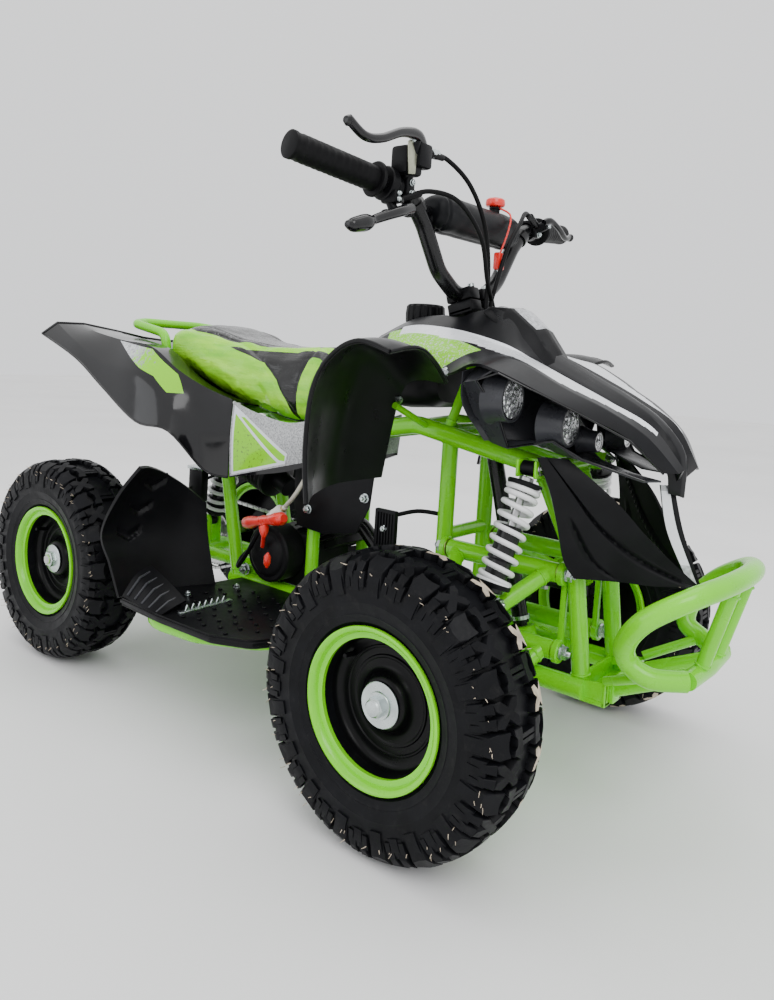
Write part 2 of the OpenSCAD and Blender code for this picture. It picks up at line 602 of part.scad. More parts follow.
// dished rim, open toward the outside (+X)
module rim(bore, hub_d, hub_in) {
  b = rim_d / 2;
  rotate([0, 90, 0]) rotate_extrude($fn = 96) polygon([
    [bore / 2, hub_in], [hub_d / 2, hub_in], [hub_d / 2, 6], [b - 22, 6], [b - 22, -40], [b - 8, -44.5], [b, -44.5], [b, -39.5], [b - 2.2, -39], [b - 16.2, -37],
    [b - 16.2, 37], [b - 2.2, 39], [b, 39.5], [b, 44.5], [b - 8, 44.5], [b - 20, 38], [b - 22, 12], [hub_d / 2 + 14, 12], [hub_d / 2 + 4, 20], [hub_d / 2, 24], [bore / 2, 24]]);
}
module front_tyre_left() { color("#141414") o() translate([fh, 0, tr]) tyre(); }
module front_tyre_right() { color("#141414") o() right() translate([fh, 0, tr]) tyre(); }
module front_rim() {
  translate([fh, 0, tr]) {
    rim(12.6, 44, -18);
    difference() { translate([24, 0, 0]) rotate([0, 90, 0]) cylinder(d = 50, h = 3); translate([20, 0, 0]) rotate([0, 90, 0]) cylinder(d = 12.6, h = 10); }
    difference() { translate([27, 0, 0]) rotate([0, 90, 0]) cylinder(d = 22, h = 8, $fn = 6); translate([20, 0, 0]) rotate([0, 90, 0]) cylinder(d = 12.6, h = 20); }
  }
}
module front_rim_left() { color(lime) o() front_rim(); }
module front_rim_right() { color(lime) o() right() front_rim(); }
module rear_tyres() { color("#141414") o() both() translate([rh, wheelbase, tr]) tyre(); }
module rear_rims() { color(lime) o() both() translate([rh, wheelbase, tr]) rim(axle_d, 52, -30); }
module rear_axle() {
  color("#8c8f92") o() translate([0, wheelbase, tr]) {
    rotate([0, 90, 0]) cylinder(d = axle_d, h = 2 * (rh + 24), center = true);
    rotate([0, 90, 0]) cylinder(d = 16, h = 2 * (rh + 38), center = true);
    both() translate([rh + 24.2, 0, 0]) rotate([0, 90, 0]) cylinder(d = 46, h = 3);
    both() translate([rh + 27, 0, 0]) rotate([0, 90, 0]) cylinder(d = 26, h = 8, $fn = 6);
    // sprocket on the left, brake disc on the right
    translate([82, 0, 0]) rotate([0, 90, 0]) cylinder(d = 134, h = 4);
    translate([66, 0, 0]) rotate([0, 90, 0]) cylinder(d = 60, h = 17);
    translate([-86, 0, 0]) rotate([0, 90, 0]) cylinder(d = 130, h = 4);
    translate([-83, 0, 0]) rotate([0, 90, 0]) cylinder(d = 56, h = 17);
  }
}

frame();
seat_rails();
footrest_bars();
front_bumper();
upper_arms();
lower_arms();
front_shocks();
swingarm();
rear_shock();
engine();
exhaust();
air_filter();
fuel_tank();
pull_handle();
fuel_filter();
footwell_right();
footwell_left();
front_fairing();
nose_guard();
headlamps();
front_fender_right();
front_fender_left();
side_cover_right();
side_cover_left();
seat();
rear_fender();
grab_bar();
drive_chain();
brake_caliper();
regulator_box();
steering_stem();
handlebar();
bar_pad();
hand_grips();
brake_levers();
thumb_throttle();
kill_switch();
control_cables();
knuckle_right();
knuckle_left();
tie_rod_right();
tie_rod_left();
front_tyre_right();
front_rim_right();
front_tyre_left();
front_rim_left();
rear_tyres();
rear_rims();
rear_axle();
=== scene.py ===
import bpy, bmesh, math
import numpy as np
from mathutils import Vector, Matrix


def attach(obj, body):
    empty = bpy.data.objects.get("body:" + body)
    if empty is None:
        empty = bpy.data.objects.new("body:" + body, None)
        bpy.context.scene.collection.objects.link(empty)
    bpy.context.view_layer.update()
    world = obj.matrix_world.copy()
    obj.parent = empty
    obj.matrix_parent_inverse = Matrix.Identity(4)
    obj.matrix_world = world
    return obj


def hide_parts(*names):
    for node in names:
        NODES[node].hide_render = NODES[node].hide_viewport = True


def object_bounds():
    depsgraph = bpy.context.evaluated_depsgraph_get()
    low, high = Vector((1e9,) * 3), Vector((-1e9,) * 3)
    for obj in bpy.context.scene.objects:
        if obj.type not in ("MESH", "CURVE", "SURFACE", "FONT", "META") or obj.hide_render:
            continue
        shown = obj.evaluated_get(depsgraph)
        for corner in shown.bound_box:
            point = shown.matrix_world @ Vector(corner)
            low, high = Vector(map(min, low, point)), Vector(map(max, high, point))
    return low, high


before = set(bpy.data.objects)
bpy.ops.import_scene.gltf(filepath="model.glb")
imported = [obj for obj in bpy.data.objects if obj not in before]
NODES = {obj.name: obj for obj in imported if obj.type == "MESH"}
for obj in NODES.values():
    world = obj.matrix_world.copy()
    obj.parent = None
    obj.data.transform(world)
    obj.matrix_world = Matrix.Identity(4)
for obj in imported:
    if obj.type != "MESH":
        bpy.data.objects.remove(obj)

bounds_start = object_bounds()
YM = 300.5          # the drawing's y = 0 is the front axle; the frame's is the middle of the box
rng = np.random.default_rng(11)


# ---------------------------------------------------------------- materials
def nodes_of(m):
    m.use_nodes = True
    nt = m.node_tree
    return nt, nt.nodes["Principled BSDF"]


def link(nt, a, b):
    nt.links.new(a, b)


def noise(nt, co, scale, detail=3.0, rough=0.55, stretch=None):
    n = nt.nodes.new("ShaderNodeTexNoise")
    n.inputs["Scale"].default_value = scale
    n.inputs["Detail"].default_value = detail
    n.inputs["Roughness"].default_value = rough
    src = co
    if stretch:
        mp = nt.nodes.new("ShaderNodeMapping")
        mp.inputs["Scale"].default_value = stretch
        link(nt, co, mp.inputs["Vector"])
        src = mp.outputs["Vector"]
    link(nt, src, n.inputs["Vector"])
    return n.outputs["Fac"]


def remap(nt, fac, lo, hi, a=0.3, b=0.7):
    r = nt.nodes.new("ShaderNodeMapRange")
    r.inputs["From Min"].default_value = a
    r.inputs["From Max"].default_value = b
    r.inputs["To Min"].default_value = lo
    r.inputs["To Max"].default_value = hi
    link(nt, fac, r.inputs["Value"])
    return r.outputs["Result"]


def mix(nt, fac, a, b):
    m = nt.nodes.new("ShaderNodeMix")
    m.data_type = "RGBA"
    if isinstance(fac, float):
        m.inputs[0].default_value = fac
    else:
        link(nt, fac, m.inputs[0])
    for sock, v in ((m.inputs[6], a), (m.inputs[7], b)):
        if isinstance(v, (tuple, list)):
            sock.default_value = (v[0], v[1], v[2], 1.0)
        else:
            link(nt, v, sock)
    return m.outputs[2]


def math_(nt, op, a, b=None, c=None):
    m = nt.nodes.new("ShaderNodeMath")
    m.operation = op
    for i, v in enumerate((a, b, c)):
        if v is None:
            continue
        if isinstance(v, (int, float)):
            m.inputs[i].default_value = float(v)
        else:
            link(nt, v, m.inputs[i])
    return m.outputs[0]


def base(name, col, rough, metal=0.0, coat=0.0, var=0.25, vscale=18.0, rvar=0.08, bump=0.12, bscale=500.0, dist=0.0004, coatr=0.05, spec=0.5, dust=0.0):
    """A material whose colour, gloss and surface all vary a little; returns it with the pieces needed to paint over it."""
    m = bpy.data.materials.new(name)
    nt, bs = nodes_of(m)
    tc = nt.nodes.new("ShaderNodeTexCoord")
    co = tc.outputs["Object"]
    n1 = noise(nt, co, vscale)
    lo = tuple(c * (1 - var) for c in col)
    hi = tuple(min(1.0, c * (1 + var)) for c in col)
    colour = mix(nt, remap(nt, n1, 0, 1), lo, hi)
    if dust:
        n3 = noise(nt, co, 45.0, 6.0, 0.7)
        colour = mix(nt, remap(nt, n3, 0.0, dust, 0.45, 0.75), colour, (0.16, 0.155, 0.15))
    link(nt, colour, bs.inputs["Base Color"])
    n2 = noise(nt, co, vscale * 2.3, 5.0, 0.6)
    link(nt, remap(nt, n2, max(0.02, rough - rvar), min(1.0, rough + rvar)), bs.inputs["Roughness"])
    bs.inputs["Metallic"].default_value = metal
    bs.inputs["Coat Weight"].default_value = coat
    bs.inputs["Coat Roughness"].default_value = coatr
    bs.inputs["Specular IOR Level"].default_value = spec
    nb = noise(nt, co, bscale, 2.0, 0.5)
    bp = nt.nodes.new("ShaderNodeBump")
    bp.inputs["Strength"].default_value = bump
    bp.inputs["Distance"].default_value = dist
    link(nt, nb, bp.inputs["Height"])
    link(nt, bp.outputs["Normal"], bs.inputs["Normal"])
    return m, nt, bs, co, colour


def simple(*a, **k):
    return base(*a, **k)[0]


def yz_mask(nt, co, poly, side=None):
    """1 inside a convex outline in the side view, given in drawing millimetres as (y, z); side=-1 or 1 keeps one side of the machine."""
    sp = nt.nodes.new("ShaderNodeSeparateXYZ")
    link(nt, co, sp.inputs[0])
    y, z = sp.outputs[1], sp.outputs[2]
    pts = [((p[0] - YM) / 1000.0, p[1] / 1000.0) for p in poly]
    area = sum(pts[i][0] * pts[(i + 1) % len(pts)][1] - pts[(i + 1) % len(pts)][0] * pts[i][1] for i in range(len(pts)))
    if area < 0:
        pts = pts[::-1]
    out = None
    for i in range(len(pts)):
        (y0, z0), (y1, z1) = pts[i], pts[(i + 1) % len(pts)]
        ln = math.hypot(y1 - y0, z1 - z0)
        a, b = -(z1 - z0) / ln, (y1 - y0) / ln
        c = -(a * y0 + b * z0)
        d = math_(nt, "MULTIPLY_ADD", y, a, math_(nt, "MULTIPLY_ADD", z, b, c))
        out = d if out is None else math_(nt, "MINIMUM", out, d)
    out = math_(nt, "GREATER_THAN", out, 0.0)
    if side:
        s = math_(nt, "GREATER_THAN", math_(nt, "MULTIPLY", sp.outputs[0], float(side)), 0.0)
        out = math_(nt, "MULTIPLY", out, s)
    return out


LIME = (0.17, 0.66, 0.0)
LIMEP = (0.25, 0.68, 0.003)
M = {}
M["lime"] = simple("lime_paint", LIME, 0.28, coat=0.25, spec=0.35, var=0.12, vscale=9, rvar=0.06, bump=0.10, bscale=160, dist=0.0006)
M["limep"] = simple("lime_plastic", LIMEP, 0.35, var=0.10, bump=0.08)
M["satin"] = simple("satin_black", (0.0042, 0.0043, 0.0052), 0.40, spec=0.14, var=0.3, rvar=0.08, bump=0.22, bscale=900, dist=0.0002)
M["gloss"] = simple("gloss_black", (0.004, 0.004, 0.005), 0.14, coat=0.15, spec=0.35, var=0.3, rvar=0.05, bump=0.04, bscale=60, dist=0.0008)
M["blackp"] = simple("black_paint", (0.004, 0.004, 0.0048), 0.27, coat=0.1, spec=0.3, var=0.3, rvar=0.06, bump=0.06, bscale=120)
M["rimblack"] = simple("rim_black", (0.0025, 0.0025, 0.003), 0.3, coat=0.0, spec=0.14, var=0.3, rvar=0.04, bump=0.05, bscale=70)
M["rubber"] = simple("rubber_black", (0.0045, 0.0045, 0.005), 0.5, spec=0.12, var=0.3, rvar=0.1, bump=0.3, bscale=600, dist=0.0003)
M["foam"] = simple("foam_cover", (0.004, 0.0044, 0.0055), 0.42, spec=0.14, var=0.25, bump=0.5, bscale=900, dist=0.0003)
M["engine"] = simple("engine_cast", (0.008, 0.008, 0.009), 0.5, metal=0.2, spec=0.2, var=0.35, bump=0.5, bscale=350, dist=0.0006, dust=0.03)
M["zinc"] = simple("zinc_plate", (0.55, 0.60, 0.60), 0.30, metal=1.0, var=0.18, vscale=40, rvar=0.1, bump=0.12, bscale=300)
M["brass"] = simple("yellow_zinc", (0.62, 0.50, 0.24), 0.32, metal=1.0, var=0.2, vscale=60)
M["steel"] = simple("steel", (0.5, 0.5, 0.5), 0.28, metal=1.0, var=0.2, vscale=30)
M["coil"] = simple("white_powder", (0.80, 0.80, 0.81), 0.33, coat=0.3, var=0.06, bump=0.1, bscale=300)
M["white"] = simple("white_sticker", (0.78, 0.80, 0.84), 0.28, coat=0.4, var=0.05, bump=0.03)
M["grey"] = simple("grey_sticker", (0.42, 0.43, 0.45), 0.32, coat=0.3, var=0.45, vscale=220, bump=0.03)
M["red"] = simple("red_plastic", (0.72, 0.02, 0.012), 0.3, coat=0.3, var=0.12, bump=0.06)
M["hose"] = simple("hose_clear", (0.42, 0.40, 0.33), 0.25, coat=0.5, var=0.15)
M["nylon"] = simple("white_nylon", (0.72, 0.71, 0.66), 0.35, var=0.08)
M["olive"] = simple("olive_zinc", (0.40, 0.41, 0.31), 0.38, metal=0.9, var=0.2, vscale=60)
M["bezel"] = simple("bezel_grey", (0.030, 0.031, 0.036), 0.30, spec=0.3, var=0.2, bump=0.1, bscale=700)
M["worn"] = simple("worn_rubber", (0.52, 0.44, 0.34), 0.8, var=0.35, vscale=90, bump=0.6, bscale=300, dist=0.0006)

# tyre rubber, a little dusty where it has met the ground
mt, nt, bs, co, colour = base("tyre_rubber", (0.0042, 0.0044, 0.0055), 0.42, spec=0.11, var=0.35, vscale=30, rvar=0.1, bump=0.25, bscale=260, dist=0.0005)
n5 = noise(nt, co, 70.0, 8.0, 0.7)
link(nt, mix(nt, remap(nt, n5, 0.0, 0.35, 0.55, 0.8), colour, (0.035, 0.033, 0.031)), bs.inputs["Base Color"])
M["tyre"] = mt

# lime and grey mottled print used on the stickers
def mottle(nt, co, scale=260.0, cut=0.52, a=LIMEP, b=(0.55, 0.57, 0.58)):
    n = noise(nt, co, scale, 4.0, 0.75)
    return mix(nt, remap(nt, n, 0, 1, cut - 0.02, cut + 0.02), a, b)


def fade(nt, co, y0, z0, y1, z1):
    """0 at the first point and 1 at the second, along the line between them in the side view."""
    sp = nt.nodes.new("ShaderNodeSeparateXYZ")
    link(nt, co, sp.inputs[0])
    ax, az = (y1 - y0) / 1000.0, (z1 - z0) / 1000.0
    l2 = ax * ax + az * az
    c = -((y0 - YM) / 1000.0 * ax + z0 / 1000.0 * az) / l2
    return math_(nt, "MULTIPLY_ADD", sp.outputs[1], ax / l2, math_(nt, "MULTIPLY_ADD", sp.outputs[2], az / l2, c))


# hood: sticker on the flank, the rest satin black
mh, nt, bs, co, colour = base("hood_plastic", (0.005, 0.0052, 0.0065), 0.32, spec=0.22, var=0.3, rvar=0.06, bump=0.18, bscale=900, dist=0.0002)
st = yz_mask(nt, co, [(186, 536), (200, 566), (172, 571), (100, 566), (25, 547), (72, 519)])
out = mix(nt, st, colour, mottle(nt, co, 300.0, 0.56))
link(nt, out, bs.inputs["Base Color"])
M["hood"] = mh

# rear cover: sticker that goes from grey to lime
mr, nt, bs, co, colour = base("rear_plastic", (0.004, 0.004, 0.005), 0.13, coat=0.15, spec=0.4, var=0.3, rvar=0.05, bump=0.05, bscale=50, dist=0.001)
s1 = yz_mask(nt, co, [(748, 536), (612, 520), (551, 453), (620, 489)])
s2 = yz_mask(nt, co, [(612, 520), (640, 522), (560, 453), (514, 453)])
sm = math_(nt, "MAXIMUM", s1, s2)
sp = nt.nodes.new("ShaderNodeSeparateXYZ"); link(nt, co, sp.inputs[0])
side_only = math_(nt, "GREATER_THAN", math_(nt, "ABSOLUTE", sp.outputs[0]), 0.152)
sm = math_(nt, "MULTIPLY", sm, side_only)
f = fade(nt, co, 560, 470, 720, 530)
nn = noise(nt, co, 160.0, 5.0, 0.8)
f2 = math_(nt, "ADD", f, math_(nt, "MULTIPLY_ADD", nn, 1.4, -0.7))
gl = mix(nt, remap(nt, f2, 0, 1, 0.38, 0.5), LIMEP, mix(nt, remap(nt, nn, 0, 1, 0.45, 0.6), (0.62, 0.64, 0.66), (0.30, 0.31, 0.32)))
link(nt, mix(nt, sm, colour, gl), bs.inputs["Base Color"])
M["rear"] = mr

# side cover: white line, grey field, lime triangle, black below
mc, nt, bs, co, colour = base("side_plastic", (0.004, 0.004, 0.005), 0.16, coat=0.15, spec=0.35, var=0.3, bump=0.05, bscale=60)
field = yz_mask(nt, co, [(466, 450), (290, 446), (290, 376), (466, 328)])
grey = mix(nt, remap(nt, noise(nt, co, 420.0, 3.0, 0.8), 0, 1, 0.4, 0.62), (0.50, 0.51, 0.52), (0.20, 0.205, 0.21))
rim_ = yz_mask(nt, co, [(462, 441), (462, 331), (352, 362), (346, 378)])
tri = yz_mask(nt, co, [(458, 428), (458, 336), (366, 362)])
tri2 = yz_mask(nt, co, [(446, 424), (438, 424), (350, 374), (352, 366), (362, 366)])
c1 = mix(nt, field, colour, grey)
c1 = mix(nt, rim_, c1, (0.72, 0.75, 0.80))
c1 = mix(nt, tri2, c1, LIMEP)
c1 = mix(nt, tri, c1, mottle(nt, co, 200.0, 0.60, LIMEP, (0.12, 0.20, 0.05)))
link(nt, c1, bs.inputs["Base Color"])
M["side"] = mc

# seat: shiny artificial leather, black with lime panels; creases of a tight clear film over it
ms, nt, bs, co, colour = base("seat_leather", (0.005, 0.005, 0.0055), 0.24, coat=0.25, spec=0.35, var=0.3, vscale=30, rvar=0.08, bump=0.15, bscale=800, dist=0.0002)
sp = nt.nodes.new("ShaderNodeSeparateXYZ"); link(nt, co, sp.inputs[0])
ax = math_(nt, "ABSOLUTE", sp.outputs[0])
low = yz_mask(nt, co, [(655, 566), (617, 556), (562, 549), (520, 541), (483, 530), (445, 514), (409, 484), (388, 455), (366, 405), (700, 405), (700, 566)])
outer = math_(nt, "GREATER_THAN", ax, 0.055)
panel = math_(nt, "MULTIPLY", low, outer)
st1 = math_(nt, "MULTIPLY", yz_mask(nt, co, [(354, 540), (330, 540), (345, 410), (374, 410)]), math_(nt, "GREATER_THAN", ax, 0.058))
topl = math_(nt, "MULTIPLY", math_(nt, "COMPARE", math_(nt, "MULTIPLY_ADD", sp.outputs[1], -0.16, ax), 0.034, 0.006), math_(nt, "GREATER_THAN", sp.outputs[2], 0.528))
lime_n = mix(nt, remap(nt, noise(nt, co, 30.0, 5.0, 0.6, (1.0, 0.35, 2.2)), 0, 1, 0.35, 0.65), (0.19, 0.60, 0.010), (0.36, 0.80, 0.03))
mot = mix(nt, math_(nt, "MULTIPLY", remap(nt, noise(nt, co, 150.0, 6.0, 0.8), 0, 0.55, 0.52, 0.66), math_(nt, "GREATER_THAN", sp.outputs[2], 0.53)), colour, (0.30, 0.31, 0.31))
c2 = mix(nt, math_(nt, "MAXIMUM", math_(nt, "MAXIMUM", panel, st1), topl), mot, lime_n)
link(nt, c2, bs.inputs["Base Color"])
wv = noise(nt, co, 26.0, 4.0, 0.62, (1.0, 0.6, 2.6))
bp = nt.nodes.new("ShaderNodeBump"); bp.inputs["Strength"].default_value = 0.55; bp.inputs["Distance"].default_value = 0.004
link(nt, wv, bp.inputs["Height"]); link(nt, bp.outputs["Normal"], bs.inputs["Coat Normal"])
link(nt, bp.outputs["Normal"], bs.inputs["Normal"])
M["seat"] = ms

# left and right front fender tops: black plastic, and a lime print material for the left one's inner part that no piece
# uses
mf, nt, bs, co, colour = base("fender_plastic", (0.0042, 0.0042, 0.005), 0.32, spec=0.2, var=0.3, rvar=0.06, bump=0.15, bscale=900, dist=0.0002)
M["fender"] = mf
ml2, nt, bs, co, colour = base("fender_print", LIMEP, 0.3, var=0.1)
link(nt, mottle(nt, co, 120.0, 0.60), bs.inputs["Base Color"])
M["fprint"] = ml2

# lamps: clear lens over a bright reflector with facets; the colour of each facet, bright in its middle and darker at
# its edge, is a painted reflection
mg, nt, bs = (bpy.data.materials.new("lens_glass"),) + (None, None)
nt, bs = nodes_of(mg)
tc = nt.nodes.new("ShaderNodeTexCoord")
vo = nt.nodes.new("ShaderNodeTexVoronoi"); vo.inputs["Scale"].default_value = 170.0
link(nt, tc.outputs["Object"], vo.inputs["Vector"])
# painted reflection: each facet is coloured bright in the middle and darker towards its edge
link(nt, mix(nt, remap(nt, vo.outputs["Distance"], 0, 1, 0.35, 0.75), (0.86, 0.88, 0.90), (0.40, 0.41, 0.43)), bs.inputs["Base Color"])
bs.inputs["Metallic"].default_value = 0.75
bs.inputs["Coat Weight"].default_value = 1.0
bs.inputs["Coat Roughness"].default_value = 0.02
link(nt, remap(nt, vo.outputs["Distance"], 0.05, 0.3, 0.1, 0.8), bs.inputs["Roughness"])
bp = nt.nodes.new("ShaderNodeBump"); bp.inputs["Strength"].default_value = 0.9; bp.inputs["Distance"].default_value = 0.003
link(nt, vo.outputs["Distance"], bp.inputs["Height"]); link(nt, bp.outputs["Normal"], bs.inputs["Normal"])
M["lens"] = mg


# ---------------------------------------------------------------- geometry helpers
class Geo:
    def __init__(self):
        self.V, self.F, self.M, self.n = [], [], [], 0

    def add(self, VF, m=0):
        V, F = VF
        V = np.asarray(V, float).reshape(-1, 3)
        self.V.append(V)
        self.F += [[int(i) + self.n for i in f] for f in F]
        self.M += list(m) if isinstance(m, (list, np.ndarray)) else [m] * len(F)
        self.n += len(V)
        return self

    def both(self):
        V = np.vstack(self.V) * np.array([-1.0, 1, 1])
        F = [f[::-1] for f in self.F]
        M_ = list(self.M)
        return self.add((V, F), M_)

    def flip(self):
        g = Geo()
        g.add((np.vstack(self.V) * np.array([-1.0, 1, 1]), [f[::-1] for f in self.F]), list(self.M))
        return g


def piece(name, g, mats, body, rep=(), angle=38, bevel=0.0, seg=2, bangle=30, sub=0):
    V = np.vstack(g.V) / 1000.0
    V[:, 1] -= YM / 1000.0
    me = bpy.data.meshes.new(name)
    me.from_pydata(V.tolist(), [], g.F)
    for m in mats:
        me.materials.append(M[m])
    me.polygons.foreach_set("material_index", np.array(g.M, np.int32))
    me.update()
    ob = bpy.data.objects.new(name, me)
    bpy.context.scene.collection.objects.link(ob)
    bm = bmesh.new(); bm.from_mesh(me)
    bmesh.ops.remove_doubles(bm, verts=bm.verts, dist=1e-6)
    bmesh.ops.recalc_face_normals(bm, faces=bm.faces)
    bm.to_mesh(me); bm.free()
    if sub:
        md = ob.modifiers.new("s", "SUBSURF"); md.levels = sub; md.render_levels = sub
    if bevel:
        md = ob.modifiers.new("b", "BEVEL"); md.width = bevel / 1000.0; md.segments = seg; md.limit_method = "ANGLE"; md.angle_limit = math.radians(bangle)
        md.harden_normals = False
    if ob.modifiers:
        bake(ob)
    ob.data.shade_smooth()
    ob.data.set_sharp_from_angle(angle=math.radians(angle))
    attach(ob, body)
    if rep:
        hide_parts(*rep)
    return ob


def bake(ob):
    dg = bpy.context.evaluated_depsgraph_get()
    dg.update()
    me = bpy.data.meshes.new_from_object(ob.evaluated_get(dg), preserve_all_data_layers=True, depsgraph=dg)
    ob.modifiers.clear()
    ob.data = me


def unit(v):
    v = np.asarray(v, float)
    return v / np.linalg.norm(v)


def fillet(P, r, k=6):
    P = [np.asarray(p, float) for p in P]
    out = [P[0]]
    for i in range(1, len(P) - 1):
        a, b = P[i - 1] - P[i], P[i + 1] - P[i]
        la, lb = np.linalg.norm(a), np.linalg.norm(b)
        a, b = a / la, b / lb
        th = math.acos(max(-1, min(1, -a @ b)))
        t = min(r * math.tan(th / 2), 0.47 * la, 0.47 * lb)
        if th < 0.02:
            out.append(P[i]); continue
        p0, p2 = P[i] + a * t, P[i] + b * t
        for j in range(k + 1):
            s = j / k
            out.append((1 - s) ** 2 * p0 + 2 * s * (1 - s) * P[i] + s * s * p2)
    out.append(P[-1])
    return np.array(out)


def catmull(P, k=6):
    P = np.asarray(P, float)
    n = len(P)
    out = []
    for i in range(n - 1):
        a, b, c, d = P[max(i - 1, 0)], P[i], P[i + 1], P[min(i + 2, n - 1)]
        for j in range(k):
            t = j / k
            out.append(0.5 * ((2 * b) + (c - a) * t + (2 * a - 5 * b + 4 * c - d) * t * t + (3 * b - a - 3 * c + d) * t ** 3))
    out.append(P[-1])
    return np.array(out)


def tube(P, r, n=16, cap=True, rnd=0.0):
    """A round tube along points; r may be one radius or one a point; rnd rounds the ends over."""
    P = np.asarray(P, float)
    keep = [0] + [i for i in range(1, len(P)) if np.linalg.norm(P[i] - P[i - 1]) > 1e-6]
    P = P[keep]
    r = np.full(len(P), float(r)) if np.isscalar(r) else np.asarray(r, float)[keep]
    if rnd:
        d0, d1 = unit(P[1] - P[0]), unit(P[-1] - P[-2])
        P = np.vstack([P[0], P[0] + d0 * rnd * 0.3, P[0] + d0 * rnd, P[1:-1], P[-1] - d1 * rnd, P[-1] - d1 * rnd * 0.3, P[-1]])
        r = np.concatenate([[max(r[0] - rnd, 0.2)], [r[0] - rnd * 0.3], [r[0]], r[1:-1], [r[-1]], [r[-1] - rnd * 0.3], [max(r[-1] - rnd, 0.2)]])
    m = len(P)
    T = np.array([unit(P[min(i + 1, m - 1)] - P[max(i - 1, 0)]) for i in range(m)])
    u = np.array([0, 0, 1.0]) if abs(T[0][2]) < 0.9 else np.array([1.0, 0, 0])
    a = unit(np.cross(T[0], u))
    V = []
    for i in range(m):
        a = unit(a - T[i] * (a @ T[i]))
        b = np.cross(T[i], a)
        for k in range(n):
            t = 2 * math.pi * k / n
            V.append(P[i] + r[i] * (math.cos(t) * a + math.sin(t) * b))
    F = [[i * n + k, i * n + (k + 1) % n, (i + 1) * n + (k + 1) % n, (i + 1) * n + k] for i in range(m - 1) for k in range(n)]
    if cap:
        F += [list(range(n - 1, -1, -1)), list(range((m - 1) * n, m * n))]
    return V, F


def frame_of(ax):
    ax = unit(ax)
    u = np.array([0, 0, 1.0]) if abs(ax[2]) < 0.9 else np.array([1.0, 0, 0])
    a = unit(np.cross(u, ax)); b = np.cross(ax, a)
    return ax, a, b


def lathe(prof, c, ax, n=48, closed=False):
    """prof: (along, radius) pairs about the axis through c."""
    ax, a, b = frame_of(ax)
    c = np.asarray(c, float)
    V, F = [], []
    m = len(prof)
    for (t, r) in prof:
        for k in range(n):
            w = 2 * math.pi * k / n
            V.append(c + ax * t + max(r, 0.001) * (math.cos(w) * a + math.sin(w) * b))
    q = m if closed else m - 1
    for i in range(q):
        j = (i + 1) % m
        for k in range(n):
            F.append([i * n + k, i * n + (k + 1) % n, j * n + (k + 1) % n, j * n + k])
    if not closed:
        F += [list(range(n - 1, -1, -1)), list(range((m - 1) * n, m * n))]
    return V, F


def cyl(a, b, r, n=24, ch=0.0):
    a, b = np.asarray(a, float), np.asarray(b, float)
    L = np.linalg.norm(b - a)
    pr = [(0, r), (L, r)] if not ch else [(0, r - ch), (ch, r), (L - ch, r), (L, r - ch)]
    return lathe(pr, a, b - a, n)


def box(lo, hi, b=1.5, rot=None, seg=2):
    """A box with rounded edges; rot = (axis, degrees, centre)."""
    bm = bmesh.new()
    bmesh.ops.create_cube(bm, size=1.0)
    lo, hi = np.asarray(lo, float), np.asarray(hi, float)
    for v in bm.verts:
        v.co = Vector((lo + hi) / 2 + (hi - lo) * np.array(v.co))
    if b:
        bmesh.ops.bevel(bm, geom=list(bm.edges), offset=b, segments=seg, affect="EDGES", profile=0.5)
    return out_bm(bm, rot)


def out_bm(bm, rot=None):
    bm.verts.ensure_lookup_table()
    V = np.array([v.co[:] for v in bm.verts], float)
    F = [[v.index for v in f.verts] for f in bm.faces]
    bm.verts.index_update()
    F = [[v.index for v in f.verts] for f in bm.faces]
    bm.free()
    if rot:
        ax, deg, c = rot
        R_ = np.array(Matrix.Rotation(math.radians(deg), 3, Vector(ax)))
        V = (V - np.asarray(c, float)) @ R_.T + np.asarray(c, float)
    return V, F


def prism(P, d, b=0.0, seg=2):
    """A flat outline P pushed along d, with rounded edges."""
    bm = bmesh.new()
    d = np.asarray(d, float)
    lo = [bm.verts.new(p) for p in P]
    hi = [bm.verts.new(np.asarray(p, float) + d) for p in P]
    n = len(P)
    bm.faces.new(lo[::-1]); bm.faces.new(hi)
    for i in range(n):
        bm.faces.new([lo[i], lo[(i + 1) % n], hi[(i + 1) % n], hi[i]])
    bmesh.ops.recalc_face_normals(bm, faces=bm.faces)
    if b:
        bmesh.ops.bevel(bm, geom=list(bm.edges), offset=b, segments=seg, affect="EDGES", profile=0.5)
    return out_bm(bm)


def spl(A, k, lin=False):
    if k <= 1:
        return np.asarray(A, float)
    A = np.asarray(A, float)
    if not lin:
        return catmull(A, k)
    out = []
    for i in range(len(A) - 1):
        for j in range(k):
            out.append(A[i] + (A[i + 1] - A[i]) * j / k)
    out.append(A[-1])
    return np.array(out)


def surf(P, ku=4, kv=4, lu=False, lv=False):
    G = spl(np.asarray(P, float), ku, lu)
    G = np.swapaxes(spl(np.swapaxes(G, 0, 1), kv, lv), 0, 1)
    return G


def normals(G):
    du = np.gradient(G, axis=0); dv = np.gradient(G, axis=1)
    N = np.cross(du, dv)
    return N / np.maximum(np.linalg.norm(N, axis=2, keepdims=True), 1e-9)


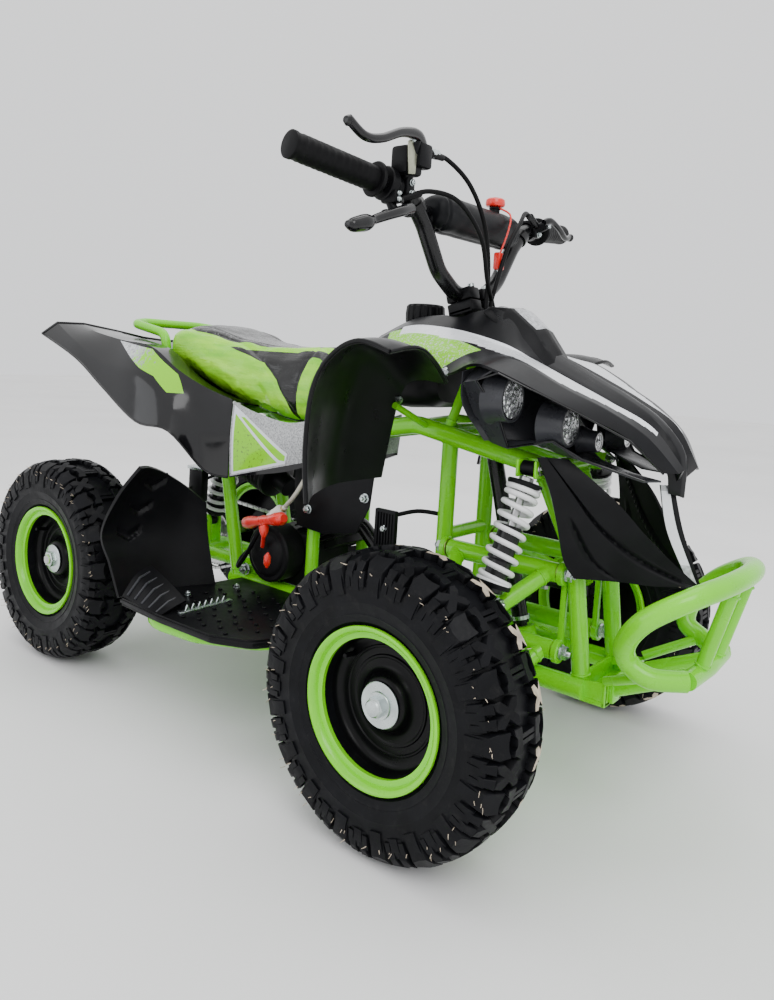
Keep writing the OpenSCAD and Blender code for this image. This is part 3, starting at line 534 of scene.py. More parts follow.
def shell(G, t, mat=0, matf=None, edge=0):
    """A closed sheet of thickness t behind a grid of points."""
    n, m = G.shape[:2]
    Nn = normals(G)
    H = G - Nn * t
    V = np.vstack([G.reshape(-1, 3), H.reshape(-1, 3)])
    N0 = n * m
    F, Mx = [], []
    for i in range(n - 1):
        for j in range(m - 1):
            q = [i * m + j, i * m + j + 1, (i + 1) * m + j + 1, (i + 1) * m + j]
            F.append(q); Mx.append(matf(i / (n - 1), j / (m - 1)) if matf else mat)
            F.append([x + N0 for x in q[::-1]]); Mx.append(mat)
    rim = [j for j in range(m)] + [i * m + m - 1 for i in range(1, n)] + [(n - 1) * m + j for j in range(m - 2, -1, -1)] + [i * m for i in range(n - 2, 0, -1)]
    for k in range(len(rim)):
        a, b = rim[k], rim[(k + 1) % len(rim)]
        F.append([b, a, a + N0, b + N0]); Mx.append(mat)
    return (V, F), Mx


def hexnut(c, ax, r, h, ch=0.6):
    ax, a, b = frame_of(ax)
    c = np.asarray(c, float)
    V, F = [], []
    rows = [(0, r), (h - ch, r), (h, r - ch * 1.3)]
    for t, rr in rows:
        for k in range(6):
            w = math.pi / 3 * k
            V.append(c + ax * t + rr * (math.cos(w) * a + math.sin(w) * b))
    for i in range(2):
        for k in range(6):
            F.append([i * 6 + k, i * 6 + (k + 1) % 6, (i + 1) * 6 + (k + 1) % 6, (i + 1) * 6 + k])
    F += [[5, 4, 3, 2, 1, 0], [12, 13, 14, 15, 16, 17]]
    return V, F


def bolt(g, c, ax, r, m=0):
    """Washer, nut and threaded end."""
    c = np.asarray(c, float); ax = unit(ax)
    g.add(lathe([(0, r * 1.9), (1.2, r * 1.9), (1.5, r * 1.7)], c, ax, 24), m)
    g.add(hexnut(c + ax * 1.4, ax, r * 1.65, r * 1.4), m)
    g.add(lathe([(0, r * 0.82), (r * 2.3, r * 0.82), (r * 2.6, r * 0.6)], c, ax, 16), m)


def helix(a, b, R_, turns, wire, n=30, flat=0.6):
    a, b = np.asarray(a, float), np.asarray(b, float)
    L = np.linalg.norm(b - a)
    ax, u, v = frame_of(b - a)
    N = int(turns * n)
    P = []
    for i in range(N + 1):
        t = i / n
        e = min(t, turns - t)
        s = i / N
        w = s
        P.append(a + ax * (L * w) + R_ * (math.cos(2 * math.pi * t) * u + math.sin(2 * math.pi * t) * v))
    return tube(P, wire, 12)


# ---------------------------------------------------------------- lime frame
def weld(g, c, ax, r, m=0):
    """A bead of weld round a tube end."""
    c = np.asarray(c, float); ax, a, b = frame_of(ax)
    P = []
    for k in range(37):
        w = 2 * math.pi * k / 36
        P.append(c + (r + 0.2 * math.sin(9 * w)) * (math.cos(w) * a + math.sin(w) * b) + ax * 0.3 * math.sin(5 * w))
    g.add(tube(P, 1.5, 8, cap=False), m)


def rod(g, a, b, d, m=0, n=20, w0=False, w1=False):
    g.add(tube([a, b], d / 2, n), m)
    if w0: weld(g, np.asarray(a, float) + unit(np.asarray(b, float) - np.asarray(a, float)) * w0, np.asarray(b, float) - np.asarray(a, float), d / 2, m)
    if w1: weld(g, np.asarray(b, float) - unit(np.asarray(b, float) - np.asarray(a, float)) * w1, np.asarray(b, float) - np.asarray(a, float), d / 2, m)


stem_lo = np.array([0, -6, 176.0]); stem_hi = np.array([0, 113, 617.0])
stem_v = unit(stem_hi - stem_lo)
stem = lambda z: stem_lo + (z - stem_lo[2]) / stem_v[2] * stem_v

h = Geo()
rod(h, [60, -124, 150], [60, 506, 150], 25)
rod(h, [50, -116, 152], [50, -96, 302], 22, w0=12)
rod(h, [50, -97, 296], [55, -44, 404], 19, w1=12)
rod(h, [50, 96, 152], [50, 96, 434], 22, w0=12, w1=12)
h.add(tube(fillet([[55, -56, 406], [55, 150, 441], [58, 304, 410], [58, 504, 406], [58, 700, 457]], 60), 12.5, 20))
rod(h, [60, 330, 152], [58, 330, 400], 20, w0=13, w1=10)
rod(h, [60, 494, 152], [58, 560, 425], 22, w0=13, w1=13)
rod(h, [52, 100, 438], [21, 86, 530], 13, w0=13)
rod(h, [56, -50, 406], [80, -50, 409], 17)
h.add(box([77, -64, 397], [82, -36, 421], 1.5))
for y in (-64, -40):
    h.add(box([79, y, 399], [106, y + 4, 420], 1.2))
h.add(box([46, 458, 150], [58, 482, 186], 2))
for y in (-86, 86):
    for z in (282, 186):
        h.add(lathe([(-4, 5.2), (-4, 13.5), (-3, 14.5), (3, 14.5), (4, 13.5), (4, 5.2)], [58, y, z], [0, 1, 0], 28))
    h.add(box([46, y - 3.5, 178], [55, y + 3.5, 290], 1.2))
h.add(tube(fillet([[66, 252, 140], [150, 246, 138], [212, 266, 137], [258, 353, 136], [266, 446, 136], [212, 482, 137], [66, 462, 140]], 55, 8), 11, 18))
h.both()
for y, z, x in ((-50, 408, 54), (104, 437, 54), (96, 296, 49), (-98, 300, 49), (330, 151, 59), (696, 456, 57), (560, 425, 57)):
    rod(h, [-x, y, z], [x, y, z], 18)
# channel plate at the front and its flanges
h.add(box([-62, -152, 136], [62, -112, 143], 2))
h.add(box([-62, -152, 136], [62, -147, 166], 1.6)); h.add(box([-62, -117, 141], [62, -112, 164], 1.6))
for s in (-1, 1):
    h.add(prism([[s * 57, -152, 137], [s * 57, -112, 137], [s * 57, -112, 160], [s * 57, -152, 166]], [s * 4, 0, 0], 0.8))
h.add(box([-52, 70, 142], [52, 110, 156], 2))
h.add(box([-54, 352, 142], [54, 378, 156], 1.5)); h.add(box([-54, 412, 142], [54, 438, 156], 1.5))
h.add(box([-54, -24, 146], [54, 16, 159], 1.5))
h.add(lathe([(-13, 11.4), (-13, 19), (-12, 20), (12, 20), (13, 19), (13, 11.4)], stem(532), stem_v, 32))
h.add(lathe([(-13, 8.4), (-13, 17), (-12, 18), (12, 18), (13, 17), (13, 8.4)], stem(171), stem_v, 32))
for x in (-13, 8.4):
    h.add(prism([[x, 556, 394], [x, 582, 394], [x, 578, 432], [x, 560, 432]], [4.6, 0, 0], 0.8))
h.add(prism([[-30, 698, 452], [-30, 718, 452], [-20, 726, 452], [20, 726, 452], [30, 718, 452], [30, 698, 452]], [0, 0, 6], 1.2))
piece("frame_tubes", h, ["lime"], "chassis", ["frame", "seat_rails", "footrest_bars"])

# bumper
h = Geo()
hh = [[60, -272, 309], [104, -250, 298], [122, -214, 272], [112, -190, 240], [98, -188, 214], [92, -212, 200], [66, -243, 198]]
bl = [[-p[0], p[1], p[2]] for p in hh[::-1]] + [[0, -280, 312.5]] + hh
h.add(tube(catmull(bl, 7), 12, 24))
h.add(tube(fillet([[-64, -244, 198], [0, -247, 198], [64, -244, 198]], 100), 10.5, 20))
for s in (-1, 1):
    rod(h, [s * 28, -246, 199], [s * 30, -275, 305], 16, w0=10, w1=11)
    rod(h, [s * 42, -148, 152], [s * 42, -240, 196], 18, w1=8, w0=6)
    rod(h, [s * 92, -212, 201], [s * 58, -150, 168], 12)
    h.add(box([s * 42 - 10, -158, 140], [s * 42 + 10, -152, 162], 1.5))
piece("bumper_tubes", h, ["lime"], "chassis", ["front_bumper"])

# arms with bushes, eyes and bolts
for nm, zi, zo, dd in (("upper", 282, 217, 20), ("lower", 186, 109, 19)):
    h = Geo()
    h.add(lathe([(-80, 5.2), (-80, 11), (-79, 12), (79, 12), (80, 11), (80, 5.2)], [58, 0, zi], [0, 1, 0], 28), 0)
    for s in (-1, 1):
        rod(h, [62, s * 66, zi - 2], [172, s * 14, zo], dd, w0=11)
        h.add(lathe([(0, 5.2), (0, 12.4), (4, 12.4), (4, 5.2)], [58, s * 83 - 2, zi], [0, 1, 0], 28), 1)
        bolt(h, [58, s * 90.5, zi], [0, s, 0], 5, 2)
    h.add(cyl([172, -20, zo], [172, 20, zo], (dd - 3) / 2, 20, 1.5), 0)
    h.add(lathe([(-9, 6.1), (-9, 16), (-8, 17), (8, 17), (9, 16), (9, 6.1)], [190, 0, zo + (0 if nm == "upper" else 1)], [0, 0, 1], 32), 0)
    if nm == "upper":
        for y in (-46, -27):
            h.add(prism([[136, y, 229], [156, y, 224], [157, y, 256], [150, y, 263], [141, y, 262], [136, y, 252]], [0, 5, 0], 0.8), 0)
        h.add(box([135, -46, 228], [157, -22, 234], 1), 0)
        bolt(h, [146, -47, 254], [0, -1, 0], 4, 2)
    else:
        # folded gusset between the lower tubes
        h.add(prism([[84, -52, 168], [150, -24, 124], [150, 24, 124], [84, 52, 168]], [0.6, 0, 3.4], 0.7), 0)
    h.both()
    piece(nm + "_arm_tubes", h, ["lime", "brass", "zinc"], "chassis", [nm + "_arms"])

# shocks: black body, bright rod, white coil closer wound at the top
def shock_geo(a, b, sd, bd, nx):
    g = Geo()
    a, b = np.asarray(a, float), np.asarray(b, float)
    v = b - a; L = np.linalg.norm(v); ax = v / L
    at = lambda s: a + ax * L * s
    g.add(cyl(at(0.07), at(0.56), bd / 2, 28, 1.5), 1)
    g.add(lathe([(0, bd / 2), (1.5, bd / 2 + 2.5), (4, bd / 2 + 2.5), (5.5, bd / 2)], at(0.30), ax, 28), 1)
    g.add(cyl(at(0.5), at(0.93), 5.5, 20, 0.5), 2)
    g.add(lathe([(-3, 6), (-3, sd / 2 - 1), (-1, sd / 2), (2.5, sd / 2), (3, sd / 2 - 3), (3, 6)], at(0.125), ax, 32), 3)
    g.add(lathe([(-3, 6), (-3, sd / 2 - 3), (-2.5, sd / 2 - 1), (1, sd / 2), (3, sd / 2 - 1), (3, 6)], at(0.875), ax, 32), 3)
    g.add(cyl(at(0.885), at(0.93), 9, 20, 1), 2)
    # coil: seven open turns, then two close ones
    u, p, q = frame_of(v)
    P, n = [], 30
    zz = [0.14, 0.155, 0.235, 0.325, 0.415, 0.505, 0.595, 0.685, 0.775, 0.83, 0.86]
    T = len(zz) - 1
    for i in range(T * n + 1):
        t = i / n; k = min(int(t), T - 1); fr = t - k
        s = zz[k] + (zz[k + 1] - zz[k]) * fr
        P.append(at(s) + (sd / 2 - 3.6) * (math.cos(2 * math.pi * t) * p + math.sin(2 * math.pi * t) * q))
    g.add(tube(P, 3.4, 12), 0)
    e = unit(nx)
    for c, w in ((a, 6.5), (b, 9)):
        g.add(lathe([(-w, 4), (-w, 8), (-w + 1, 9), (w - 1, 9), (w, 8), (w, 4)], c, e, 28), 3)
        g.add(cyl(c - e * 15, c + e * 15, 4, 16), 2)
    return g
h = shock_geo([146, -34, 254], [96, -50, 410], 43, 28, [0, 1, 0])
bolt(h, [96, -64.5, 410], [0, -1, 0], 4, 2)
h.both()
piece("front_coil_shocks", h, ["coil", "blackp", "steel", "satin"], "chassis", ["front_shocks"])
h = shock_geo([0, 640, 214], [0, 569, 402], 50, 32, [1, 0, 0])
piece("rear_coil_shock", h, ["coil", "blackp", "steel", "satin"], "chassis", ["rear_shock"])

# swingarm
h = Geo()
g2 = Geo()
rod(g2, [33, 462, 170], [33, 708, 164], 22)
g2.add(prism([[8.4, 629, 168], [8.4, 651, 168], [8.4, 650, 218], [8.4, 646, 225], [8.4, 634, 225], [8.4, 630, 218]], [4.6, 0, 0], 0.8))
g2.both()
h.add((np.vstack(g2.V), g2.F), g2.M)
h.add(cyl([-44, 470, 170], [44, 470, 170], 15, 28, 1.5)); h.add(cyl([-66, 470, 170], [66, 470, 170], 6, 20), 1)
h.add(lathe([(-61, 12.7), (-61, 29), (-59, 30), (59, 30), (61, 29), (61, 12.7)], [0, 730, 164], [1, 0, 0], 40)); h.add(cyl([-33, 636, 166], [33, 636, 166], 10, 20))
for s in (-1, 1): bolt(h, [s * 66, 470, 170], [s, 0, 0], 5, 1)
piece("swingarm_tubes", h, ["lime", "zinc"], "chassis", ["swingarm"])

# grab bar
h = Geo()
gb = [[60, 784, 566], [93, 764, 562], [97, 670, 547], [96, 664, 512]]
h.add(tube(fillet([[-p[0], p[1], p[2]] for p in gb[::-1]] + gb, 26, 8), 8, 20))
for s in (-1, 1): weld(h, [s * 96.1, 665, 519], [0, 6, 35], 8)
piece("grab_bar_tube", h, ["lime"], "chassis", ["grab_bar"])


# ---------------------------------------------------------------- tyres and rims
def Rt(x):
    return float(np.interp(abs(x), [0, 18, 34, 45, 49, 52], [164, 163.7, 161.0, 154.5, 147, 141]))


def Rc(x):
    return float(np.interp(abs(x), [0, 20, 34, 42, 47, 48.5], [156, 155.2, 151.2, 145, 137, 128]))


def tyre_geo(side, seed):
    """A knobbly tyre about the X axis with its middle at the origin; side=+1 has its outside toward +X."""
    g = Geo()
    prof = [(-38, 86), (-40, 90), (-43.5, 92), (-44.5, 97), (-46.0, 100), (-45.4, 101), (-47.5, 110), (-48.4, 113), (-48.0, 114), (-48.8, 124), (-48.6, 128), (-47, 137), (-42, 145), (-34, 151.2), (-20, 155.2), (-8, 156), (0, 156)]
    prof = prof + [(-t, r) for t, r in prof[-2::-1]]
    V, F = lathe(prof + [(36, 74), (-36, 74)], [0, 0, 0], [1, 0, 0], 112, closed=True)
    g.add((V, F), 0)
    r_ = np.random.default_rng(seed)

    def lug(poly, s0, top=0, lower=0.0, mat=0, topm=None, draft=1.5):
        """poly: (axial, along the tread) points of a block, its middle at angle s0."""
        n = len(poly)
        c = np.mean(poly, axis=0)
        rings = []
        for kind in (0, 1, 2):
            ring = []
            for (u, v) in poly:
                d = np.array([u, v]) - c
                l = np.linalg.norm(d)
                if kind == 0: d = d * (1 + draft / max(l, 1e-6)); 
                if kind == 2: d = d * (1 - 0.7 / max(l, 1e-6))
                uu, vv = c + d
                R_ = (Rc(uu) - 1.5) if kind == 0 else (Rt(uu) - lower - (0.8 if kind == 1 else 0))
                w = s0 + vv / 160.0
                ring.append([uu, R_ * math.sin(w), R_ * math.cos(w)])
            rings.append(ring)
        V = np.array(rings).reshape(-1, 3)
        F, Mx = [], []
        for i in range(2):
            for k in range(n):
                F.append([i * n + k, i * n + (k + 1) % n, (i + 1) * n + (k + 1) % n, (i + 1) * n + k]); Mx.append(mat)
        F.append(list(range(2 * n, 3 * n))); Mx.append(mat if topm is None else topm)
        g.add((V, F), Mx)

    NP = 17
    X = [(-15, -12), (-8, -13), (0, -6), (8, -13), (15, -12), (13, -5), (7, 0), (13, 5), (15, 12), (8, 13), (0, 6), (-8, 13), (-15, 12), (-13, 5), (-7, 0), (-13, -5)]
    for i in range(NP):
        a = 2 * math.pi * i / NP
        b = a + math.pi / NP
        # middle block shaped like an H with a split web
        for s in (-1, 1):
            lug([(s * 12, -6), (s * 13, -13), (s * 25, -13), (s * 24, -7), (s * 21, -4), (s * 21, 4), (s * 24, 7), (s * 25, 13), (s * 13, 13), (s * 12, 6)], a)
        lug([(-13, -5.5), (13, -5.5), (13, -0.8), (-13, -0.8)], a, lower=0.8, draft=0.6)
        lug([(-13, 0.8), (13, 0.8), (13, 5.5), (-13, 5.5)], a, lower=0.8, draft=0.6)
        # shoulder blocks
        for s in (-1, 1):
            lug([(s * (30 + 0), -12), (s * 42, -13), (s * 48, -10), (s * 49, 0), (s * 48, 10), (s * 42, 13), (s * 30, 12), (s * 33, 4), (s * 33, -4)], a, draft=1.0)
            lug([(s * 29 + u, v) for u, v in X], b, topm=(1 if s == -side else 0), draft=1.2)
            # outer shoulder lugs, cut in two
            for q in (-1, 1):
                lug([(s * 43, q * 2 + 0), (s * 43.5, q * 13), (s * 48.5, q * 12), (s * 49.5, q * 3)], b, draft=0.8)
            # ribs that run down the sidewall, long and short by turns
            for ww, lo_, wd in ((a, 122, 7.0), (a + 0.115, 132, 3.0), (a - 0.115, 132, 3.0), (b, 126, 5.0)):
                P0 = []
                for rr, xx in ((146, 47.0), (138, 49.2), (130, 49.9), (lo_, 49.6)):
                    P0.append((rr, xx))
                V, F = [], []
                for rr, xx in P0:
                    for dv in (-wd, wd):
                        w = ww + dv / rr
                        V.append([s * (xx + 0.7), rr * math.sin(w), rr * math.cos(w)])
                    for dv in (wd + 1.0, -wd - 1.0):
                        w = ww + dv / rr
                        V.append([s * (xx - 3.2), rr * math.sin(w), rr * math.cos(w)])
                m4 = len(P0)
                for i4 in range(m4 - 1):
                    for k in range(4):
                        F.append([i4 * 4 + k, i4 * 4 + (k + 1) % 4, (i4 + 1) * 4 + (k + 1) % 4, (i4 + 1) * 4 + k])
                F += [[3, 2, 1, 0], [(m4 - 1) * 4 + k for k in range(4)]]
                g.add((V, F), 0)
            # moulding whiskers
            for q in range(4):
                w = a + r_.uniform(-0.17, 0.17)
                rr = r_.uniform(136, 153)
                p0 = np.array([s * r_.uniform(46, 48), rr * math.sin(w), rr * math.cos(w)])
                d = unit([s * r_.uniform(0.5, 1.3), r_.uniform(-.4, .4) + math.sin(w) * 0.5, r_.uniform(-.4, .4) + math.cos(w) * 0.5])
                g.add(tube([p0, p0 + d * 3.5, p0 + d * 6.5 + r_.uniform(-1, 1, 3)], [0.45, 0.4, 0.25], 5), 2)
    return g


def rim_geo(side, hub_r, hub_in, front):
    g = Geo()
    o = lambda t: t if side > 0 else -t
    # lime flange and barrel, then the black dish
    lime_p = [(36.5, 73.5), (38.5, 86.4), (41, 87.7), (43.2, 88.2), (45.2, 87.6), (46.0, 85.6), (45.0, 83.2), (42.0, 80.8), (38.0, 79.4), (34, 78.2), (31.5, 77.6), (31.5, 73.8)]
    g.add(lathe([(o(t), r) for t, r in lime_p], [0, 0, 0], [1, 0, 0], 96, closed=True), 0)
    inner_p = [(-36.5, 73.5), (-38.5, 86.4), (-41, 87.7), (-43.2, 88.2), (-45.2, 87.6), (-46.0, 85.6), (-45.0, 82), (-38, 78), (-26, 76.4), (-20, 73.8)]
    g.add(lathe([(o(t), r) for t, r in inner_p], [0, 0, 0], [1, 0, 0], 96, closed=True), 0)
    dish = [(-36, 72.2), (-36, 75.6), (31.6, 76.6), (31.8, 75.2), (22, 74.4), (15, 73.4), (11.5, 71.5), (9.5, 68.5), (8.6, 64), (8.6, 60.5), (9.9, 59.5), (9.9, 57.8), (8.6, 56.6), (8.6, 50), (10.2, 48.8), (10.2, 47), (9.2, 45.5), (9.6, 38), (11.5, 34.5), (16, 31.5), (20, 29.5), (22.6, 27), (23.4, 24), (23.4, hub_r * 0.5), (hub_in, hub_r * 0.5), (hub_in, hub_r), (5, hub_r), (4.5, 40), (5.0, 66), (7, 70.8), (12, 72.2)]
    g.add(lathe([(o(t), r) for t, r in dish], [0, 0, 0], [1, 0, 0], 96, closed=True), 1)
    s = 1 if side > 0 else -1
    # valve
    g.add(tube([[o(9), 52, 38], [o(22), 50, 40], [o(30), 49, 41]], [3.2, 2.8, 2.4], 12), 1)
    if front:
        g.add(lathe([(o(t), r) for t, r in ((23.6, 6.4), (23.6, 24.2), (24.4, 25.0), (26.4, 25.0), (27, 24.2), (27, 6.4))], [0, 0, 0], [1, 0, 0], 56, closed=True), 2)
        g.add(lathe([(o(t), r) for t, r in ((27, 6.4), (27, 14.5), (27.8, 15), (28.6, 14.5), (28.6, 6.4))], [0, 0, 0], [1, 0, 0], 40, closed=True), 2)
    return g


def place(g, c):
    out = Geo()
    out.add((np.vstack(g.V) + np.asarray(c, float), g.F), g.M)
    return out


FH, RH, WB, TR = 270, 231, 730, 164
tL = tyre_geo(1, 5)
tR = tyre_geo(-1, 6)
piece("tyre_front_left", place(tL, [FH, 0, TR]), ["tyre", "worn", "worn"], "front_left_wheel", ["front_tyre_left"], angle=30)
piece("tyre_front_right", place(tR, [-FH, 0, TR]), ["tyre", "worn", "worn"], "front_right_wheel", ["front_tyre_right"], angle=30)
h = Geo()
for g_, x in ((tL, RH), (tR, -RH)):
    p_ = place(g_, [x, WB, TR]); h.add((np.vstack(p_.V), p_.F), p_.M)
piece("tyres_rear", h, ["tyre", "tyre", "worn"], "rear_wheels", ["rear_tyres"], angle=30)
for s, nm in ((1, "left"), (-1, "right")):
    g = place(rim_geo(s, 22, -18, True), [s * FH, 0, TR])
    ax_ = [s, 0, 0]
    g.add(hexnut([s * (FH + 28.6), 0, TR], ax_, 11.5, 8.5, 1.0), 2)
    g.add(lathe([(0, 9.5), (0.8, 9.7), (2.4, 8.2), (2.8, 6.2)], [s * (FH + 37), 0, TR], ax_, 24), 2)
    piece("rim_front_" + nm, g, ["lime", "rimblack", "zinc"], "front_%s_wheel" % nm, ["front_rim_" + nm], angle=32)
h = Geo()
for s in (1, -1):
    g = place(rim_geo(s, 26, -30, False), [s * RH, WB, TR]); h.add((np.vstack(g.V), g.F), g.M)
piece("rims_rear", h, ["lime", "rimblack", "zinc"], "rear_wheels", ["rear_rims"], angle=32)
# rear axle with its nuts, sprocket and disc
h = Geo()
h.add(cyl([-(RH + 24), WB, TR], [RH + 24, WB, TR], 12.5, 32, 0.8), 0)
h.add(cyl([-(RH + 38), WB, TR], [RH + 38, WB, TR], 8, 24, 1.2), 0)
for s in (1, -1):
    ax_ = [s, 0, 0]
    h.add(lathe([(0, 8.2), (0, 22.5), (0.8, 23), (2.4, 23), (3, 22.2), (3, 8.2)], [s * (RH + 24.2), WB, TR], ax_, 48), 1)
    h.add(hexnut([s * (RH + 27.2), WB, TR], ax_, 13, 8, 1.0), 1)
    h.add(lathe([(0, 8), (0.6, 8.4), (1.6, 7)], [s * (RH + 36), WB, TR], ax_, 24), 2)


def toothed(n, r0, r1, t, x, holes, hr, hd):
    """A thin disc with teeth and a ring of lightening holes, made of rings of points."""
    V, F = [], []
    N = n * 4
    rr = [28, hr - hd, hr + hd, r0 - 3]
    ring = []
    for kk in range(N):
        w = 2 * math.pi * kk / N
        ring.append(r1 if kk % 4 in (1, 2) else r0)
    for xx in (x, x + t):
        for r_ in rr:
            for kk in range(N):
                w = 2 * math.pi * kk / N
                V.append([xx, WB + r_ * math.sin(w), TR + r_ * math.cos(w)])
        for kk in range(N):
            w = 2 * math.pi * kk / N
            V.append([xx, WB + ring[kk] * math.sin(w), TR + ring[kk] * math.cos(w)])
    L = 5 * N
    per = N // holes
    for i in range(4):
        for kk in range(N):
            k2 = (kk + 1) % N
            hole = i == 1 and (kk % per) < per * 0.62
            if hole:
                continue
            F.append([i * N + kk, i * N + k2, (i + 1) * N + k2, (i + 1) * N + kk])
            F.append([L + (i + 1) * N + kk, L + (i + 1) * N + k2, L + i * N + k2, L + i * N + kk])
    for kk in range(N):
        k2 = (kk + 1) % N
        F.append([4 * N + kk, 4 * N + k2, L + 4 * N + k2, L + 4 * N + kk])
        F.append([k2, kk, L + kk, L + k2])
        inside_ = (kk % per) < per * 0.62
        if inside_:
            F.append([N + kk, L + N + kk, L + N + k2, N + k2])
            F.append([2 * N + k2, L + 2 * N + k2, L + 2 * N + kk, 2 * N + kk])
            if (kk % per) == 0:
                F.append([N + kk, 2 * N + kk, L + 2 * N + kk, L + N + kk])
            if ((kk + 1) % per) >= per * 0.62:
                F.append([N + k2, L + N + k2, L + 2 * N + k2, 2 * N + k2])
    return V, F


h.add(toothed(60, 62, 66.5, 3.6, 82, 6, 46, 8), 0)
h.add(toothed(60, 64.5, 65.5, 3.6, -85.8, 10, 50, 6), 0)
h.add(cyl([66, WB, TR], [83, WB, TR], 30, 32, 1.5), 0); h.add(cyl([-83, WB, TR], [-66, WB, TR], 28, 32, 1.5), 0)
piece("rear_axle_set", h, ["steel", "zinc", "limep"], "rear_wheels", ["rear_axle"])


# ---------------------------------------------------------------- moulded covers
hood = [
    [[0, 240, 568], [34, 240, 562], [64, 240, 545], [86, 240, 510], [98, 240, 470]],
    [[0, 178, 590], [36, 176, 588], [66, 172, 574], [102, 160, 545], [116, 150, 505]],
    [[0, 110, 600], [36, 104, 594], [64, 100, 573], [112, 72, 543], [130, 60, 514]],
    [[0, 40, 604], [34, 34, 598], [62, 22, 556], [120, 6, 541], [164, -2, 530]],
    [[0, -36, 528], [30, -34, 530], [60, -24, 540], [116, -34, 537], [166, -38, 524]],
    [[0, -84, 502], [28, -84, 506], [58, -80, 516], [104, -92, 508], [142, -88, 500]],
    [[0, -122, 482], [24, -124, 486], [52, -126, 495], [84, -138, 486], [112, -128, 478]],
    [[0, -160, 456], [18, -164, 462], [40, -174, 469], [62, -178, 458], [82, -164, 456]],
    [[0, -190, 400], [12, -200, 412], [24, -208, 424], [36, -206, 420], [48, -192, 420]]]
H = np.array(hood, float)
full = np.concatenate([H[:, :0:-1] * np.array([-1.0, 1, 1]), H], axis=1)
G = surf(full, 16, 16, False, True)


def hood_mat(u, v):
    c = abs(v - 0.5) * 8            # 0 in the middle, 4 at the edge
    r = u * 8
    if 2.0 <= c < np.interp(r, [0.9, 2.4, 3.6, 4.6, 6.9, 7.1], [2.42, 2.45, 2.80, 2.86, 2.42, 2.3]) and 0.9 < r < 7.1:
        return 1
    return 0


S_, Mx = shell(G, 3.2, 0, hood_mat)
if (normals(G)[53, 64][2]) < 0:
    S_, Mx = shell(G[:, ::-1], 3.2, 0, hood_mat)
h = Geo(); h.add(S_, Mx)
hood_ob = piece("front_hood", h, ["hood", "white", "grey"], "chassis", ["front_fairing"], angle=28)


def cut(ob, VF):
    me = bpy.data.meshes.new("cutter")
    V = np.asarray(VF[0], float) / 1000.0
    V[:, 1] -= YM / 1000.0
    me.from_pydata(V.tolist(), [], VF[1]); me.update()
    c = bpy.data.objects.new("cutter", me)
    bpy.context.scene.collection.objects.link(c)
    bm = bmesh.new(); bm.from_mesh(me); bmesh.ops.recalc_face_normals(bm, faces=bm.faces); bm.to_mesh(me); bm.free()
    md = ob.modifiers.new("c", "BOOLEAN"); md.operation = "DIFFERENCE"; md.object = c; md.solver = "EXACT"
    bake(ob)
    bpy.data.objects.remove(c); bpy.data.meshes.remove(me)


cut(hood_ob, lathe([(480, 29), (640, 29)], [0, 188, 0], [0, 0, 1], 48))
slot_ = []
for k in range(48):
    w = 2 * math.pi * k / 48
    slot_.append([40 * math.cos(w), (104 if math.sin(w) < 0 else 110) + 40 * math.sin(w), 480])
cut(hood_ob, prism(slot_, [0, 0, 160]))
hood_ob.data.set_sharp_from_angle(angle=math.radians(28))

# dash cover over the stem's foot, the spine of the hood and the beak
h = Geo()
dash = [
    [[-44, 62, 598], [-30, 64, 606], [0, 66, 608], [30, 64, 606], [44, 62, 598]],
    [[-48, 34, 578], [-30, 30, 604], [0, 28, 607], [30, 30, 604], [48, 34, 578]],
    [[-50, 8, 556], [-28, -4, 577], [0, -8, 581], [28, -4, 577], [50, 8, 556]],
    [[-46, -16, 538], [-26, -26, 549], [0, -30, 553], [26, -26, 549], [46, -16, 538]],
    [[-40, -34, 522], [-22, -40, 531], [0, -42, 534], [22, -40, 531], [40, -34, 522]]]
Gd = surf(dash, 4, 4, True, True)
S_, Mx = shell(Gd, 3, 0, lambda u, v: 1 if (u < 0.5 and 0.25 < v < 0.75) else 0)
if normals(Gd)[4, 8][2] < 0:
    S_, Mx = shell(Gd[:, ::-1], 3, 0, lambda u, v: 1 if (u < 0.5 and 0.27 < v < 0.73) else 0)
h.add(S_, Mx)
piece("dash_cover", h, ["satin", "grey"], "chassis", (), angle=25, bevel=1.2)

h = Geo()
spine = [
    [[-34, -20, 537], [-14, -24, 549], [0, -25, 552], [14, -24, 549], [34, -20, 537]],
    [[-32, -84, 509], [-14, -84, 520], [0, -84, 523], [14, -84, 520], [32, -84, 509]],
    [[-30, -124, 490], [-14, -126, 500], [0, -126, 503], [14, -126, 500], [30, -124, 490]],
    [[-27, -162, 464], [-13, -168, 474], [0, -169, 477], [13, -168, 474], [27, -162, 464]],
    [[-22, -186, 428], [-11, -198, 436], [0, -200, 440], [11, -198, 436], [22, -186, 428]],
    [[-13, -188, 392], [-7, -200, 390], [0, -203, 388], [7, -200, 390], [13, -188, 392]]]
Gs = surf(spine, 4, 3, False, True)
if normals(Gs)[8, 6][2] < 0: Gs = Gs[:, ::-1]
S_, Mx = shell(Gs, 3, 0)
h.add(S_, Mx)
piece("hood_spine", h, ["hood"], "chassis", (), angle=25, bevel=0.8)

